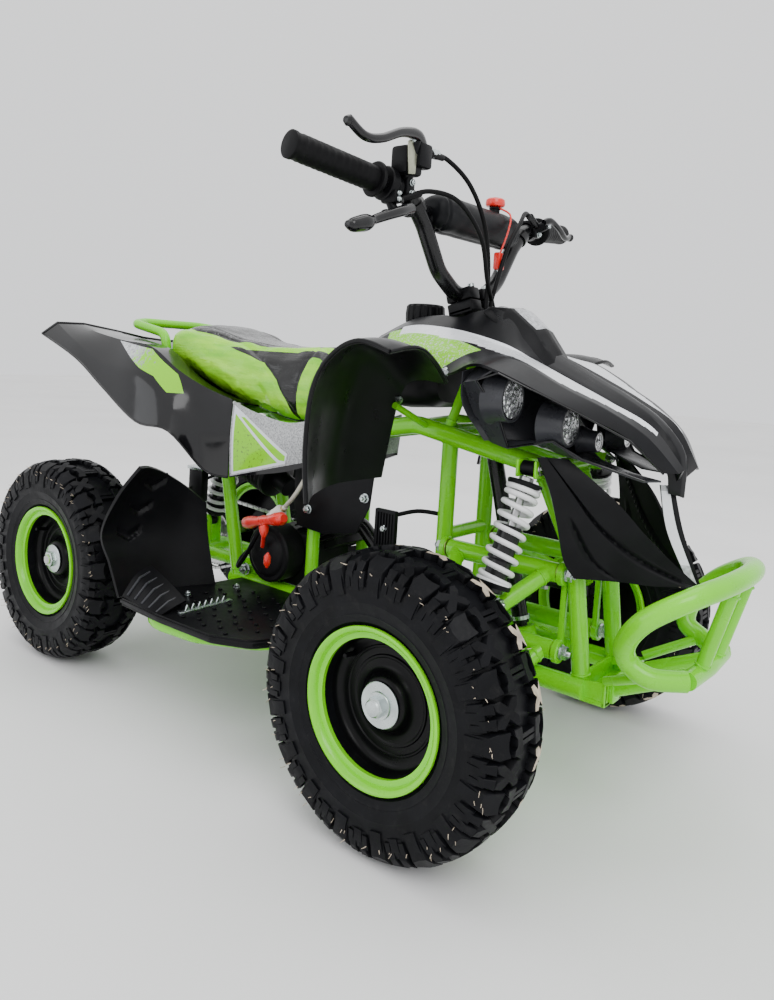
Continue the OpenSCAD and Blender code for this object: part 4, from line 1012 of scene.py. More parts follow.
# lamp buckets: wall behind the opening, bright rim, barrels with lenses
O_ = np.array([[150, -30, 527], [167, -11, 511], [142, -27, 474], [112, -27, 433], [108, -82, 447], [80, -107, 427], [50, -172, 408], [40, -188, 410]], float)
I_ = np.array([[132, 10, 526], [150, 16, 506], [136, 8, 474], [104, 6, 440], [88, -32, 441], [62, -58, 432], [34, -92, 430], [24, -140, 414]], float)
h = Geo()
Mid = O_ * 0.45 + I_ * 0.55
Mid[:, 1] += 4
Gb = surf(np.stack([O_, Mid, I_]), 3, 2, True, True)
for flipit in (False,):
    S_, Mx = shell(Gb, 2.2, 0); h.add(S_, Mx)
# back wall behind the lamps
bw = [[[150, 20, 520], [110, 14, 528], [60, -2, 520], [20, -30, 500]],
      [[148, 18, 480], [110, 10, 484], [60, -30, 470], [20, -70, 450]],
      [[110, 8, 438], [92, -18, 440], [60, -58, 434], [20, -110, 418]]]
S_, Mx = shell(surf(bw, 4, 4), 2, 0); h.add(S_, Mx)
# bright narrow edge round the opening
edge = O_[1:7] + [0, -1, 0]
h.add(tube(edge, 1.3, 8), 1)
# upper lip of the opening
lip = np.array([[166, -12, 512], [166, -39, 521.5], [143, -89, 498], [113, -129, 476], [83, -165, 454.5], [49, -193, 419]])
h.add(tube(lip, 1.3, 8), 1)
h.both()
piece("lamp_bezels", h, ["bezel", "gloss"], "chassis", (), angle=30)

h = Geo()
for c, R_, b_, ln in (((130, -40, 491), 27, 4, 27), ((86, -94, 463), 24, -46, 32), ((44, -112, 446), 13, -74, 24)):
    c = np.array(c, float)
    f_ = c[1]; d_ = [0, 1, 0]
    w_ = 3.2 if R_ > 20 else 2.4
    # barrel flares towards the back and has a rolled front edge
    h.add(lathe([(8, R_ - w_), (1.0, R_ - w_), (0, R_ - w_ + 0.7), (-0.2, R_ - 1.2), (0.6, R_ - 0.2), (3, R_), (ln * 0.55, R_ + 0.5), (ln, R_ + 4.5), (ln, R_ - 6), (10, R_ - w_)], c, d_, 56, closed=True), 0)
    q = R_ - w_
    h.add(lathe([(9, q), (2.2, q), (0.8, q * 0.8), (-0.3, q * 0.5), (-0.8, q * 0.2), (-0.9, 0.01)], c, d_, 48), 1)
    h.add(lathe([(1.2, q + 0.1), (0.3, q + 0.1), (0.3, q - 1.6), (1.2, q - 1.6)], c, d_, 48, closed=True), 2)
h.both()
piece("lamps", h, ["bezel", "lens", "steel"], "chassis", ["headlamps"], angle=35)

# nose guard: two wings with grooves and the middle spine with its strips
h = Geo()
wing = [[[112, -68, 426], [104, -74, 426.5], [98, -78, 426], [82, -92, 425]],
        [[104, -82, 388], [92, -98, 387], [82, -112, 384], [60, -144, 382]],
        [[96, -90, 350], [81, -114, 349], [68, -134, 346], [40, -176, 344]],
        [[84, -96, 306], [66, -130, 308], [50, -160, 308], [18, -202, 314]],
        [[74, -107, 284], [52, -152, 286], [34, -190, 286], [4, -230, 289]]]
Gw = surf(wing, 18, 18)
Nw = normals(Gw)
sg = 1 if Nw[36, 27][1] < 0 else -1
n_, m_ = Gw.shape[:2]
for i in range(n_):
    for j in range(m_):
        u, v = i / (n_ - 1), j / (m_ - 1)
        dpt = 0.0
        # a raised fold and two grooves that run down the wing
        for (va, vb, wd, dp, u0, u1) in ((0.40, 0.93, 0.028, 4.2, 0.0, 1.0), (0.20, 0.34, 0.028, 3.0, 0.42, 0.98)):
            if u0 < u < u1:
                vc = va + (vb - va) * (u - u0) / (u1 - u0)
                dpt -= dp * math.exp(-((v - vc) / wd) ** 2) * min(1, (u - u0) * 9, (u1 - u) * 9)
        Gw[i, j] += sg * Nw[i, j] * dpt
if sg < 0: Gw = Gw[:, ::-1]
S_, Mx = shell(Gw, 3.2, 0); h.add(S_, Mx)
h.both()
sp_ = [[[-17, -180, 402], [-9, -187, 402], [0, -190, 402], [9, -187, 402], [17, -180, 402]],
       [[-15, -190, 352], [-8, -200, 352], [0, -204, 352], [8, -200, 352], [15, -190, 352]],
       [[-11, -213, 304], [-5, -221, 304], [0, -224, 304], [5, -221, 304], [11, -213, 304]],
       [[-6, -222, 287], [-3, -229, 287], [0, -231, 287], [3, -229, 287], [6, -222, 287]]]
Gp = surf(sp_, 5, 2, False, True)
if normals(Gp)[5, 4][1] > 0: Gp = Gp[:, ::-1]
S_, Mx = shell(Gp, 3, 0, lambda u, v: 1 if (v < 0.25 and 0.0 < u < 0.55) or (v > 0.75 and 0.0 < u < 0.55) else (2 if (v < 0.25 or v > 0.75) else 0))
h.add(S_, Mx)
piece("nose_guard_wings", h, ["satin", "white", "grey"], "chassis", ["nose_guard"], angle=35)

# front fenders: deep shells; the raised plate with a serrated edge on top is not built
ff = [[[152, 40, 506], [196, 28, 530], [246, 16, 544], [290, 20, 538]],
      [[140, 84, 508], [192, 76, 544], [246, 66, 553], [293, 62, 548]],
      [[130, 116, 500], [188, 122, 536], [246, 110, 545], [296, 98, 530]],
      [[124, 134, 474], [188, 150, 495], [248, 138, 500], [298, 122, 490]],
      [[120, 148, 426], [190, 166, 435], [250, 152, 430], [299, 127, 420]],
      [[120, 158, 372], [192, 172, 368], [250, 158, 362], [296, 124, 360]]]
Gf = surf(ff, 7, 7)
if normals(Gf)[6, 10][2] < 0: Gf = Gf[:, ::-1]
for s, nm in ((1, "left"), (-1, "right")):
    h = Geo()
    S_, Mx = shell(Gf, 3.4, 0); h.add(S_, Mx)
    # rolled outer edge
    oe = Gf[:, 0] if Gf[0, 0][0] > 250 else Gf[:, -1]
    h.add(tube(oe, 2.6, 8), 0)
    h.add(tube(Gf[0], 2.4, 8), 0)
    # points of a front panel in front of the wheel arch that reaches in to the lamps; the panel is not built
    pf = [[[152, 38, 508], [196, 26, 531], [240, 16, 543]],
          [[150, 10, 505], [180, -18, 520], [200, -34, 521]],
          [[152, -18, 502], [168, -38, 512], [180, -66, 513]],
          [[140, -34, 500], [152, -66, 500], [160, -90, 488]]]
    # stay
    h.add(tube([[60, 128, 440], [134, 130, 470]], 4.5, 14), 1)
    bolt(h, [150, 47, 516], [-0.25, -0.45, 0.86], 3.2, 2)
    bolt(h, [131, 128, 476], [-0.9, -0.1, 0.4], 3.0, 2)
    g = h if s > 0 else h.flip()
    piece("fender_front_" + nm, g, ["fender", "lime", "zinc"], "chassis", ["front_fender_" + nm], angle=40)

# side covers
sc = [[[96, 292, 438], [98, 294, 404], [96, 296, 370]],
      [[104, 350, 424], [110, 350, 385], [104, 352, 350]],
      [[110, 420, 434], [116, 420, 388], [112, 420, 336]],
      [[113, 466, 447], [117, 466, 390], [114, 468, 326]]]
Gc = surf(sc, 6, 6)
if normals(Gc)[6, 6][0] < 0: Gc = Gc[:, ::-1]
for s, nm in ((1, "left"), (-1, "right")):
    h = Geo(); S_, Mx = shell(Gc, 3, 0); h.add(S_, Mx)
    h.add(tube([[57, 400, 412], [110, 400, 405]], 4, 12), 0)
    # points of a black lower apron under the cover; the apron is not built
    ap = [[[97, 300, 372], [100, 302, 340], [98, 306, 316]], [[105, 360, 348], [108, 360, 330], [104, 360, 312]], [[112, 462, 328], [113, 462, 322], [110, 460, 316]]]
    g = h if s > 0 else h.flip()
    piece("side_cover_panel_" + nm, g, ["side"], "chassis", ["side_cover_" + nm], angle=35)

# rear cover
tail = [
    [[0, 470, 440], [62, 470, 440], [96, 470, 446], [112, 470, 449], [115, 470, 390], [113, 472, 325]],
    [[0, 520, 448], [62, 520, 448], [104, 520, 462], [130, 518, 466], [139, 514, 400], [134, 506, 334]],
    [[0, 566, 460], [70, 566, 460], [110, 565, 484], [150, 560, 490], [171, 552, 440], [178, 542, 394]],
    [[0, 622, 480], [72, 622, 480], [118, 620, 520], [162, 616, 524], [190, 610, 470], [198, 600, 404]],
    [[0, 690, 506], [72, 690, 506], [118, 694, 534], [164, 700, 532], [196, 700, 490], [202, 690, 452]],
    [[0, 760, 526], [60, 762, 528], [112, 770, 542], [164, 782, 544], [196, 790, 526], [204, 770, 496]],
    [[0, 796, 534], [50, 802, 538], [98, 816, 547], [150, 840, 556], [188, 862, 555], [205, 882, 534]]]
T_ = np.array(tail, float)
fullT = np.concatenate([T_[:, :0:-1] * np.array([-1.0, 1, 1]), T_], axis=1)
Gt = surf(fullT, 6, 5, False, True)
if normals(Gt)[18, 25][2] < 0: Gt = Gt[:, ::-1]
S_, Mx = shell(Gt, 3, 0)
h = Geo(); h.add(S_, Mx)
h.add(tube(Gt[:, 0], 1.8, 8), 0); h.add(tube(Gt[:, -1], 1.8, 8), 0); h.add(tube(Gt[-1], 2.2, 8), 0)
piece("rear_cover", h, ["rear"], "chassis", ["rear_fender"], angle=26)

# footwells: floor with grip pegs, heel guard with chevrons and ribs
Fp = [[74, 250], [150, 216], [212, 214], [262, 236], [288, 290], [290, 400], [284, 496], [205, 500], [132, 478], [74, 470]]
hg = [[[130, 468, 156], [165, 484, 156], [205, 496, 156], [250, 500, 158], [285, 496, 160]],
      [[132, 478, 190], [166, 500, 195], [206, 516, 200], [250, 526, 205], [286, 520, 205]],
      [[134, 488, 235], [168, 512, 240], [208, 530, 243], [252, 542, 245], [286, 544, 245]],
      [[138, 488, 268], [170, 508, 285], [210, 520, 295], [250, 520, 305], [284, 508, 305]],
      [[142, 486, 284], [172, 500, 312], [210, 500, 335], [248, 484, 348], [280, 462, 353]]]
Gh = surf(hg, 20, 20)
Nh = normals(Gh)
fr = 1 if Nh[28, 28][1] < 0 else -1      # the face toward the rider's heel
n_, m_ = Gh.shape[:2]
for i in range(n_):
    for j in range(m_):
        p = Gh[i, j]
        d = 0.0
        for cx, cz in ((221, 318), (232, 279), (243, 240)):
            # chevron recess pointing down
            dx, dz = abs(p[0] - cx), p[2] - cz
            t = dz - 0.62 * dx + 8
            if dx < 19:
                d -= 5.0 * (1 if -1 < t < 3 else max(0.0, 1 - (abs(t - 1) - 2) / (9.0 if t > 0 else 2.5))) * min(1, (19 - dx) / 4)
        Gh[i, j] = p + fr * Nh[i, j] * d
if fr < 0: Gh = Gh[:, ::-1]
for s, nm in ((1, "left"), (-1, "right")):
    h = Geo()
    h.add(prism([[x, y, 152] for x, y in Fp], [0, 0, 5.5], 1.4, 2), 0)
    S_, Mx = shell(Gh, 4.6, 0); h.add(S_, Mx)
    # folded lip round the floor's outer edge
    lipp = fillet([[150, 218, 150], [212, 216, 150], [261, 238, 150], [286, 291, 150], [288, 400, 150], [283, 492, 150]], 30, 5)
    Gl = np.stack([lipp + [0, 0, 10], lipp + [0, 0, 0], lipp * [1, 1, 1] + [-3, 2, -3]])
    S_, Mx = shell(surf(Gl, 3, 1), 2.4, 0); h.add(S_, Mx)
    # ribs at the foot of the guard
    wd_ = np.array([[[234, 494, 200], [262, 492, 190], [286, 488, 164]], [[236, 448, 186], [262, 446, 178], [287, 444, 161]], [[240, 400, 170], [263, 398, 165], [288, 396, 158]]], float)
    if normals(wd_)[1, 1][2] < 0: wd_ = wd_[:, ::-1]
    S_, Mx = shell(surf(wd_, 4, 4), 3, 0); h.add(S_, Mx)
    for k in range(5):
        y = 482 - k * 17
        h.add(tube([[244, y, 193 - k * 5.4], [262, y - 2, 188.5 - k * 4.9], [284, y - 5, 167 - k * 2.0]], 1.9, 8), 2)
    # serrated metal peg strip and small round pips
    for k in range(9):
        y = 262 + k * 22
        for x in (118, 146, 174, 202, 230, 256):
            if y < 250 + (x > 240) * 20: continue
            h.add(cyl([x + (k % 2) * 10, y, 157], [x + (k % 2) * 10, y, 160.2], 3.2, 10, 0.8), 0)
    for k in range(7):
        h.add(prism([[176 + k * 11, 386, 158], [182 + k * 11, 386, 168], [187 + k * 11, 386, 158]], [0, 3, 0], 0.3), 1)
    h.add(box([168, 383, 157], [262, 392, 160], 0.6), 1)
    for q in ((120, 300), (120, 430), (256, 420), (200, 448)):
        bolt(h, [q[0], q[1], 157.6], [0, 0, 1], 2.6, 1)
    g = h if s > 0 else h.flip()
    piece("footwell_panel_" + nm, g, ["satin", "zinc", "bezel"], "chassis", ["footwell_" + nm], angle=35)

# fuel tank with ribbed cap
h = Geo()
tk = []
for s in [[128, 44, 472, 536], [142, 56, 464, 552], [190, 60, 460, 556], [236, 54, 464, 546], [254, 42, 474, 530]]:
    ring = []
    for k in range(24):
        a = 15 * k + 7.5
        ca, sa = math.cos(math.radians(a)), math.sin(math.radians(a))
        ring.append([s[1] * abs(ca) ** 0.6 * np.sign(ca), s[0], (s[2] + s[3]) / 2 + (s[3] - s[2]) / 2 * abs(sa) ** 0.6 * np.sign(sa)])
    tk.append(ring)
tk = np.array(tk)
V = tk.reshape(-1, 3); F = [[i * 24 + k, i * 24 + (k + 1) % 24, (i + 1) * 24 + (k + 1) % 24, (i + 1) * 24 + k] for i in range(4) for k in range(24)]
F += [list(range(24)), list(range(4 * 24, 5 * 24))[::-1]]
h.add((V, F), 0)
h.add(cyl([0, 188, 548], [0, 188, 584], 20, 36, 1), 0)
cap = []
nr = 96
for t, r in ((582, 26), (584, 28), (596, 28.6), (606, 27.6), (609, 25), (610, 20), (610, 0.01)):
    for k in range(nr):
        w = 2 * math.pi * k / nr
        rr = r - (1.6 if (k % 6) in (0, 1) and 584 <= t <= 606 else 0)
        cap.append([max(rr, 0.01) * math.cos(w), 188 + max(rr, 0.01) * math.sin(w), t])
F = [[i * nr + k, i * nr + (k + 1) % nr, (i + 1) * nr + (k + 1) % nr, (i + 1) * nr + k] for i in range(6) for k in range(nr)] + [list(range(nr - 1, -1, -1))]
h.add((cap, F), 0)
piece("fuel_tank_body", h, ["satin"], "chassis", ["fuel_tank"], angle=35)


# ---------------------------------------------------------------- engine bay
h = Geo()
h.add(box([-46, 346, 157], [46, 442, 245], 6, seg=3))
h.add(box([-40, 340, 200], [40, 352, 238], 4))
rt = ([1, 0, 0], -24, (0, 350, 236))
def rp(lo, hi, b=1.5):
    V, F = box(lo, hi, b)
    R_ = np.array(Matrix.Rotation(math.radians(-24), 3, Vector((1, 0, 0))))
    V = V @ R_.T + np.array([-24, 350, 236])
    return V, F
h.add(rp([2, -34, -18], [68, 30, 62], 3))
for k in range(9):
    h.add(rp([-7, -43, k * 7.6 - 6], [71, 39, k * 7.6 - 3.2], 0.8))
h.add(rp([6, -30, 60], [64, 26, 64], 3))
h.add(cyl([-46, 402, 212], [-86, 402, 212], 45, 48, 3))
h.add(lathe([(0, 36), (3, 34), (5, 30), (5, 12), (7, 10), (7, 0.01)], [-86, 402, 212], [-1, 0, 0], 48))
for k in range(8):
    w = 2 * math.pi * k / 8
    h.add(box([-90.5, 402 + 22 * math.cos(w) - 2, 212 + 22 * math.sin(w) - 6], [-86, 402 + 22 * math.cos(w) + 2, 212 + 22 * math.sin(w) + 6], 0.8, rot=([1, 0, 0], math.degrees(w) - 90, (-88, 402 + 22 * math.cos(w), 212 + 22 * math.sin(w)))))
h.add(cyl([45, 400, 205], [73, 400, 205], 28, 40, 2))
h.add(cyl([45, 428, 204], [90, 428, 204], 7.5, 24, 1), 1)
h.add(toothed(12, 14, 17, 3.6, 82, 3, 11, 2) if False else cyl([82, 428, 204], [86, 428, 204], 13, 24, 0.5), 1)
for x, y in ((-40, 352), (-40, 436), (40, 352), (40, 436)):
    bolt(h, [x, y, 157.5], [0, 0, -1], 3, 1)
piece("engine_block", h, ["engine", "steel"], "chassis", ["engine"])
h = Geo()
h.add(tube(fillet([[16, 330, 268], [22, 300, 262], [26, 272, 232], [26, 262, 205]], 30), 12, 20))
h.add(lathe([(0, 20), (2, 28), (5, 30), (108, 30), (112, 28), (114, 20)], [26, 274, 200], [0, -114, -12], 40))
h.add(tube([[26, 162, 188], [26, 138, 186]], 9, 20))
piece("exhaust_pipe", h, ["blackp"], "chassis", ["exhaust"])
h = Geo()
h.add(cyl([8, 452, 300], [8, 486, 314], 17, 28, 1))
P0, P1 = np.array([8, 480, 312.0]), np.array([8, 548, 336.0])
L = np.linalg.norm(P1 - P0)
pf = [(0, 30), (3, 36), (8, 37)]
for k in range(11):
    t = 10 + k * (L - 20) / 10
    pf += [(t, 37 if k % 2 == 0 else 34.5)]
pf += [(L - 8, 37), (L - 3, 36), (L, 30)]
h.add(lathe(pf, P0, P1 - P0, 48))
piece("air_filter_body", h, ["satin"], "chassis", ["air_filter"])
# red T handle of the pull starter
h = Geo()
h.add(tube([[-98, 400, 226], [-122, 372, 268]], 3.5, 14))
a_, b_ = np.array([-100, 440, 256.0]), np.array([-132, 322, 288.0])
L = np.linalg.norm(b_ - a_)
h.add(tube([a_ + (b_ - a_) * t for t in (0, 0.05, 0.18, 0.36, 0.5, 0.64, 0.82, 0.95, 1)], [6, 9.6, 9.8, 7.0, 8.4, 7.0, 9.8, 9.6, 6], 20))
h.add(tube([[-124, 360, 228], [-124, 361, 222], [-124, 361, 212], [-124, 361, 205]], [1.5, 5.5, 5.5, 2], 14))
h.add(tube([[-121, 375, 264], [-123, 372, 258], [-123, 372, 250]], [8, 7, 3.5], 16))
piece("pull_handle_red", h, ["red"], "chassis", ["pull_handle"])
h = Geo()
a_, b_ = np.array([-99, 388, 268.0]), np.array([-97, 362, 290.0])
L = np.linalg.norm(b_ - a_)
h.add(lathe([(-9, 3.6), (-9, 4.2), (-1, 4.2), (0, 6), (2, 9.6), (4, 10), (L * 0.5 - 2, 10), (L * 0.5 - 1, 10.8), (L * 0.5 + 1, 10.8), (L * 0.5 + 2, 10), (L - 4, 10), (L - 2, 9.6), (L, 6), (L + 1, 4.2), (L + 8, 4.2), (L + 8, 3.6)], a_, b_ - a_, 28), 0)
h.add(tube(catmull([[-97, 358, 294], [-94, 340, 315], [-90, 320, 350], [-86, 300, 395], [-84, 268, 440], [-74, 244, 464], [-54, 232, 476]], 6), 3.5, 12), 1)
h.add(tube(catmull([[-99, 392, 264], [-102, 406, 248], [-103, 428, 212], [-100, 452, 184], [-84, 460, 196], [-56, 452, 216], [-30, 440, 222]], 6), 3.5, 12), 2)
for t, m_ in ((-4, 3), (L + 3, 3)):
    h.add(lathe([(-1.6, 4.6), (-1.6, 5.2), (1.6, 5.2), (1.6, 4.6)], a_ + unit(b_ - a_) * t, b_ - a_, 20), 3)
piece("fuel_filter_hoses", h, ["nylon", "hose", "rubber", "brass"], "chassis", ["fuel_filter"])

# black splash panel beside the engine and the bracket behind the heel guard
h = Geo()
pan = [(196, 392), (204, 318), (226, 276), (292, 264), (344, 268), (352, 300), (352, 392)]
for s in (-1,):
    h.add(prism([[s * 80, y, z] for y, z in pan], [s * 3, 0, 0], 1.0), 0)
    for y, z in ((321, 296), (212, 330)):
        bolt(h, [s * 83, y, z], [s, 0, 0], 3.6, 1)
h.add(box([-72, 586, 262], [-56, 622, 318], 3), 0)
h.add(box([-74, 584, 316], [-54, 624, 322], 1.2), 1)
h.add(tube([[-62, 604, 270], [-62, 604, 236]], 4, 14), 0)
piece("splash_panels", h, ["satin", "zinc"], "chassis", ())

# chain: links along the loop
h = Geo()
ca, cb = np.array([84.0, 730, 164]), np.array([84.0, 428, 204])
ra, rb = 72.5, 14.5
dv = cb - ca; D = np.linalg.norm(dv); phi = math.acos((ra - rb) / D); base_a = math.atan2(dv[2], dv[1])
loop = []
for k in range(41):
    w = base_a + phi + (2 * math.pi - 2 * phi) * k / 40
    loop.append(ca + ra * np.array([0, math.cos(w), math.sin(w)]))
for k in range(17):
    w = base_a - phi + 2 * phi * k / 16
    loop.append(cb + rb * np.array([0, math.cos(w), math.sin(w)]))
loop = np.array(loop + [loop[0]])
seg = np.linalg.norm(np.diff(loop, axis=0), axis=1); cum = np.concatenate([[0], np.cumsum(seg)])
NL = int(round(cum[-1] / 8.0 / 2) * 2)
pts = [np.array([np.interp(cum[-1] * k / NL, cum, loop[:, i]) for i in range(3)]) for k in range(NL)]
for k in range(NL):
    p, q = pts[k], pts[(k + 1) % NL]
    off = 3.2 if k % 2 == 0 else 2.1
    for s in (-1, 1):
        d = unit(q - p); nn_ = np.array([0, -d[2], d[1]])
        x = np.array([s * off, 0, 0])
        P_ = [p - d * 2 + nn_ * 2.2 + x, p - d * 2.6 + x, p - d * 2 - nn_ * 2.2 + x, q + d * 2 - nn_ * 2.2 + x, q + d * 2.6 + x, q + d * 2 + nn_ * 2.2 + x]
        h.add(prism(P_, [0.9 * s, 0, 0]), 0)
    h.add(cyl(p + [-2.6, 0, 0], p + [2.6, 0, 0], 1.7, 8), 0)
piece("drive_chain_links", h, ["steel"], "chassis", ["drive_chain"])
h = Geo()
h.add(box([-102, 646, 178], [-88.4, 686, 224], 3)); h.add(box([-79.6, 646, 178], [-66, 686, 224], 3)); h.add(box([-102, 650, 219], [-66, 684, 226], 2.5))
h.add(cyl([-103, 666, 200], [-108, 666, 200], 11, 24, 1)); h.add(tube([[-68, 664, 186], [-38, 664, 170]], 5.5, 14))
h.add(tube(catmull([[-84, 666, 226], [-80, 640, 262], [-62, 590, 300], [-40, 520, 330], [-30, 430, 350]], 6), 2.6, 10), 1)
piece("caliper", h, ["steel", "rubber"], "chassis", ["brake_caliper"])
h = Geo()
h.add(box([-92, 150, 268], [-84, 186, 322], 1.5), 0)
for k in range(6):
    h.add(box([-94, 154 + k * 5, 272], [-91, 156 + k * 5, 318], 0.4), 0)
h.add(tube(catmull([[-86, 160, 314], [-60, 136, 322], [-50, 100, 322]], 6), 3, 10), 1)
bolt(h, [-92, 168, 296], [-1, 0, 0], 2.5, 2)
piece("regulator", h, ["satin", "rubber", "zinc"], "chassis", ["regulator_box"])


# ---------------------------------------------------------------- seat and bar pad
def padded_piece(name, g, mats, body, rep, vox, cap, shape=None):
    ob = piece(name, g, mats, body, rep)
    md = ob.modifiers.new("r", "REMESH"); md.mode = "VOXEL"; md.voxel_size = vox / 1000.0; md.adaptivity = 0.0
    bake(ob)
    n = len(ob.data.vertices)
    rest = np.empty(n * 3); ob.data.vertices.foreach_get("co", rest); rest = rest.reshape(-1, 3)
    md = ob.modifiers.new("c", "CLOTH")
    s = md.settings
    s.use_pressure = True; s.uniform_pressure_force = 4.0
    s.effector_weights.gravity = 0.0
    s.quality = 5
    md.collision_settings.use_collision = False
    md.point_cache.frame_start = 1; md.point_cache.frame_end = 20
    sc_ = bpy.context.scene
    for f in range(1, 21):
        sc_.frame_set(f)
    dg = bpy.context.evaluated_depsgraph_get()
    ev = ob.evaluated_get(dg)
    now = np.empty(n * 3); ev.data.vertices.foreach_get("co", now); now = now.reshape(-1, 3)
    d = now - rest
    ln = np.linalg.norm(d, axis=1, keepdims=True)
    d *= np.minimum(1.0, (cap / 1000.0) / np.maximum(ln, 1e-9))
    ob.modifiers.clear()
    sc_.frame_set(1)
    ob.data.vertices.foreach_set("co", (rest + d).ravel()); ob.data.update()
    md = ob.modifiers.new("s", "SUBSURF"); md.levels = 1; md.render_levels = 1
    bake(ob)
    if shape:
        n = len(ob.data.vertices)
        co = np.empty(n * 3); ob.data.vertices.foreach_get("co", co); co = co.reshape(-1, 3)
        no = np.empty(n * 3); ob.data.vertices.foreach_get("normal", no); no = no.reshape(-1, 3)
        fit = co * 1000.0; fit[:, 1] += YM
        co = co + no * (shape(fit, no) / 1000.0)[:, None]
        ob.data.vertices.foreach_set("co", co.ravel()); ob.data.update()
    for m in mats:
        if M[m].name not in [x.name for x in ob.data.materials if x]:
            ob.data.materials.append(M[m])
    ob.data.shade_smooth()
    return ob


def line_dist(P, L):
    out = np.full(len(P), 1e9)
    for a, b in zip(L[:-1], L[1:]):
        a, b = np.array(a, float), np.array(b, float)
        t = np.clip(((P - a) @ (b - a)) / max((b - a) @ (b - a), 1e-9), 0, 1)
        out = np.minimum(out, np.linalg.norm(P - a - t[:, None] * (b - a), axis=1))
    return out


SS = [[262, 46, 432, 520], [280, 62, 424, 534], [330, 76, 420, 535], [400, 88, 425, 532], [470, 97, 440, 533],
      [540, 103, 458, 543], [600, 105, 478, 559], [645, 101, 492, 565], [664, 92, 502, 561]]
ring = []
for y, w, z0, z1 in SS:
    r_ = []
    for k in range(40):
        a = math.radians(9 * k + 4.5)
        ca, sa = math.cos(a), math.sin(a)
        r_.append([(w - 3.5) * abs(ca) ** 0.46 * np.sign(ca), y, (z0 + z1) / 2 + ((z1 - z0) / 2 - 3) * abs(sa) ** 0.46 * np.sign(sa)])
    ring.append(r_)
ring = spl(np.array(ring), 5)
n_ = len(ring)
V = ring.reshape(-1, 3)
F = [[i * 40 + k, i * 40 + (k + 1) % 40, (i + 1) * 40 + (k + 1) % 40, (i + 1) * 40 + k] for i in range(n_ - 1) for k in range(40)]
F += [list(range(40)), list(range((n_ - 1) * 40, n_ * 40))[::-1]]
h = Geo(); h.add((V, F), 0)
panel_line = [(652, 560), (617, 556), (562, 549), (520, 541), (483, 530), (445, 514), (409, 484), (388, 455), (372, 430)]


def seat_shape(P, N):
    yz = P[:, 1:3]
    side = np.clip((np.abs(P[:, 0]) - 40) / 12, 0, 1)
    d = -2.2 * np.exp(-(line_dist(yz, panel_line) / 2.4) ** 2) * side
    d -= 1.8 * np.exp(-(line_dist(yz, [(354, 545), (374, 420)]) / 2.2) ** 2)
    d -= 1.8 * np.exp(-(line_dist(yz, [(330, 545), (345, 420)]) / 2.2) ** 2)
    top = np.clip((P[:, 2] - 500) / 20, 0, 1)
    xr = np.abs(P[:, 0]) - (22 + (P[:, 1] - 262) * 0.10)
    d -= 1.7 * np.exp(-(xr / 2.2) ** 2) * top
    # soft folds where the cover is drawn over the edge
    d += 0.9 * np.sin(P[:, 1] / 11.0 + 1.2 * np.sin(P[:, 2] / 17.0)) * np.clip((P[:, 2] - 470) / 30, 0, 1) * side
    d += 1.1 * np.sin(P[:, 1] / 23.0 + P[:, 0] / 31.0) * np.exp(-((P[:, 1] - 440) / 90) ** 2) * top
    return d


padded_piece("seat_cushion", h, ["seat"], "chassis", ["seat"], 5.0, 9.0, seat_shape)

# foam pad round the crossbar
h = Geo()
prof = [[-101, 13], [-98, 19], [-92, 22.5], [-84, 24.2], [-40, 24.4], [0, 24.2], [40, 24.4], [84, 24.2], [92, 22.5], [98, 19], [101, 13]]
R_ = []
for x, r in prof:
    R_.append([[x, 118 + r * 1.02 * abs(math.cos(a)) ** 0.8 * np.sign(math.cos(a)), 722 + r * abs(math.sin(a)) ** 0.8 * np.sign(math.sin(a))] for a in [math.radians(11.25 * k + 5) for k in range(32)]])
R_ = spl(np.array(R_), 3); n_ = len(R_)
V = R_.reshape(-1, 3)
F = [[i * 32 + k, i * 32 + (k + 1) % 32, (i + 1) * 32 + (k + 1) % 32, (i + 1) * 32 + k] for i in range(n_ - 1) for k in range(32)]
F += [list(range(32)), list(range((n_ - 1) * 32, n_ * 32))[::-1]]
h.add((V, F), 0)


def pad_shape(P, N):
    # sewn edge along the back of the cover, end seams, shallow creases
    a = np.degrees(np.arctan2(P[:, 2] - 722, P[:, 1] - 118))
    d = -1.8 * np.exp(-((a + 100) / 5.0) ** 2)
    d -= 1.5 * np.exp(-((np.abs(P[:, 0]) - 88) / 2.2) ** 2)
    d -= 1.0 * np.exp(-((np.abs(P[:, 0]) - 40) / 2.0) ** 2) * (np.abs(a) < 80)
    d += 0.5 * np.sin(P[:, 0] / 6.0 + 2 * np.sin(a / 25.0)) * np.exp(-((np.abs(P[:, 0]) - 70) / 26) ** 2)
    return d


padded_piece("crossbar_pad", h, ["foam"], "steering", ["bar_pad"], 4.0, 5.0, pad_shape)


# ---------------------------------------------------------------- steering
h = Geo()
h.add(tube([stem(166), stem(200)], 8, 24), 0)
h.add(tube([stem(187.6), stem(606)], 11, 28), 0)
cc = stem(610)
rt15 = ([1, 0, 0], -15.1, tuple(cc))
for x0, x1 in ((-30, -4), (4, 30)):
    h.add(box(cc + [x0, -20, -14], cc + [x1, 20, 2], 2, rot=rt15), 1)
    h.add(box(cc + [x0, -20, 3.2], cc + [x1, 20, 20], 3, rot=rt15), 1)
h.add(box(cc + [-30, -18, -15], cc + [30, 18, -8], 1.5, rot=rt15), 1)
up = np.array([0, math.sin(math.radians(15.1)), math.cos(math.radians(15.1))])
fw = np.array([0, -math.cos(math.radians(15.1)), math.sin(math.radians(15.1))])
for x in (-17, 17):
    for s in (-15.5, 15.5):
        p = cc + np.array([x, 0, 0]) + fw * s + up * 20
        h.add(lathe([(0, 4.6), (4, 4.6), (4.6, 4.0), (4.6, 2.6), (2.2, 2.4), (2.2, 0.01)], p, up, 18), 2)
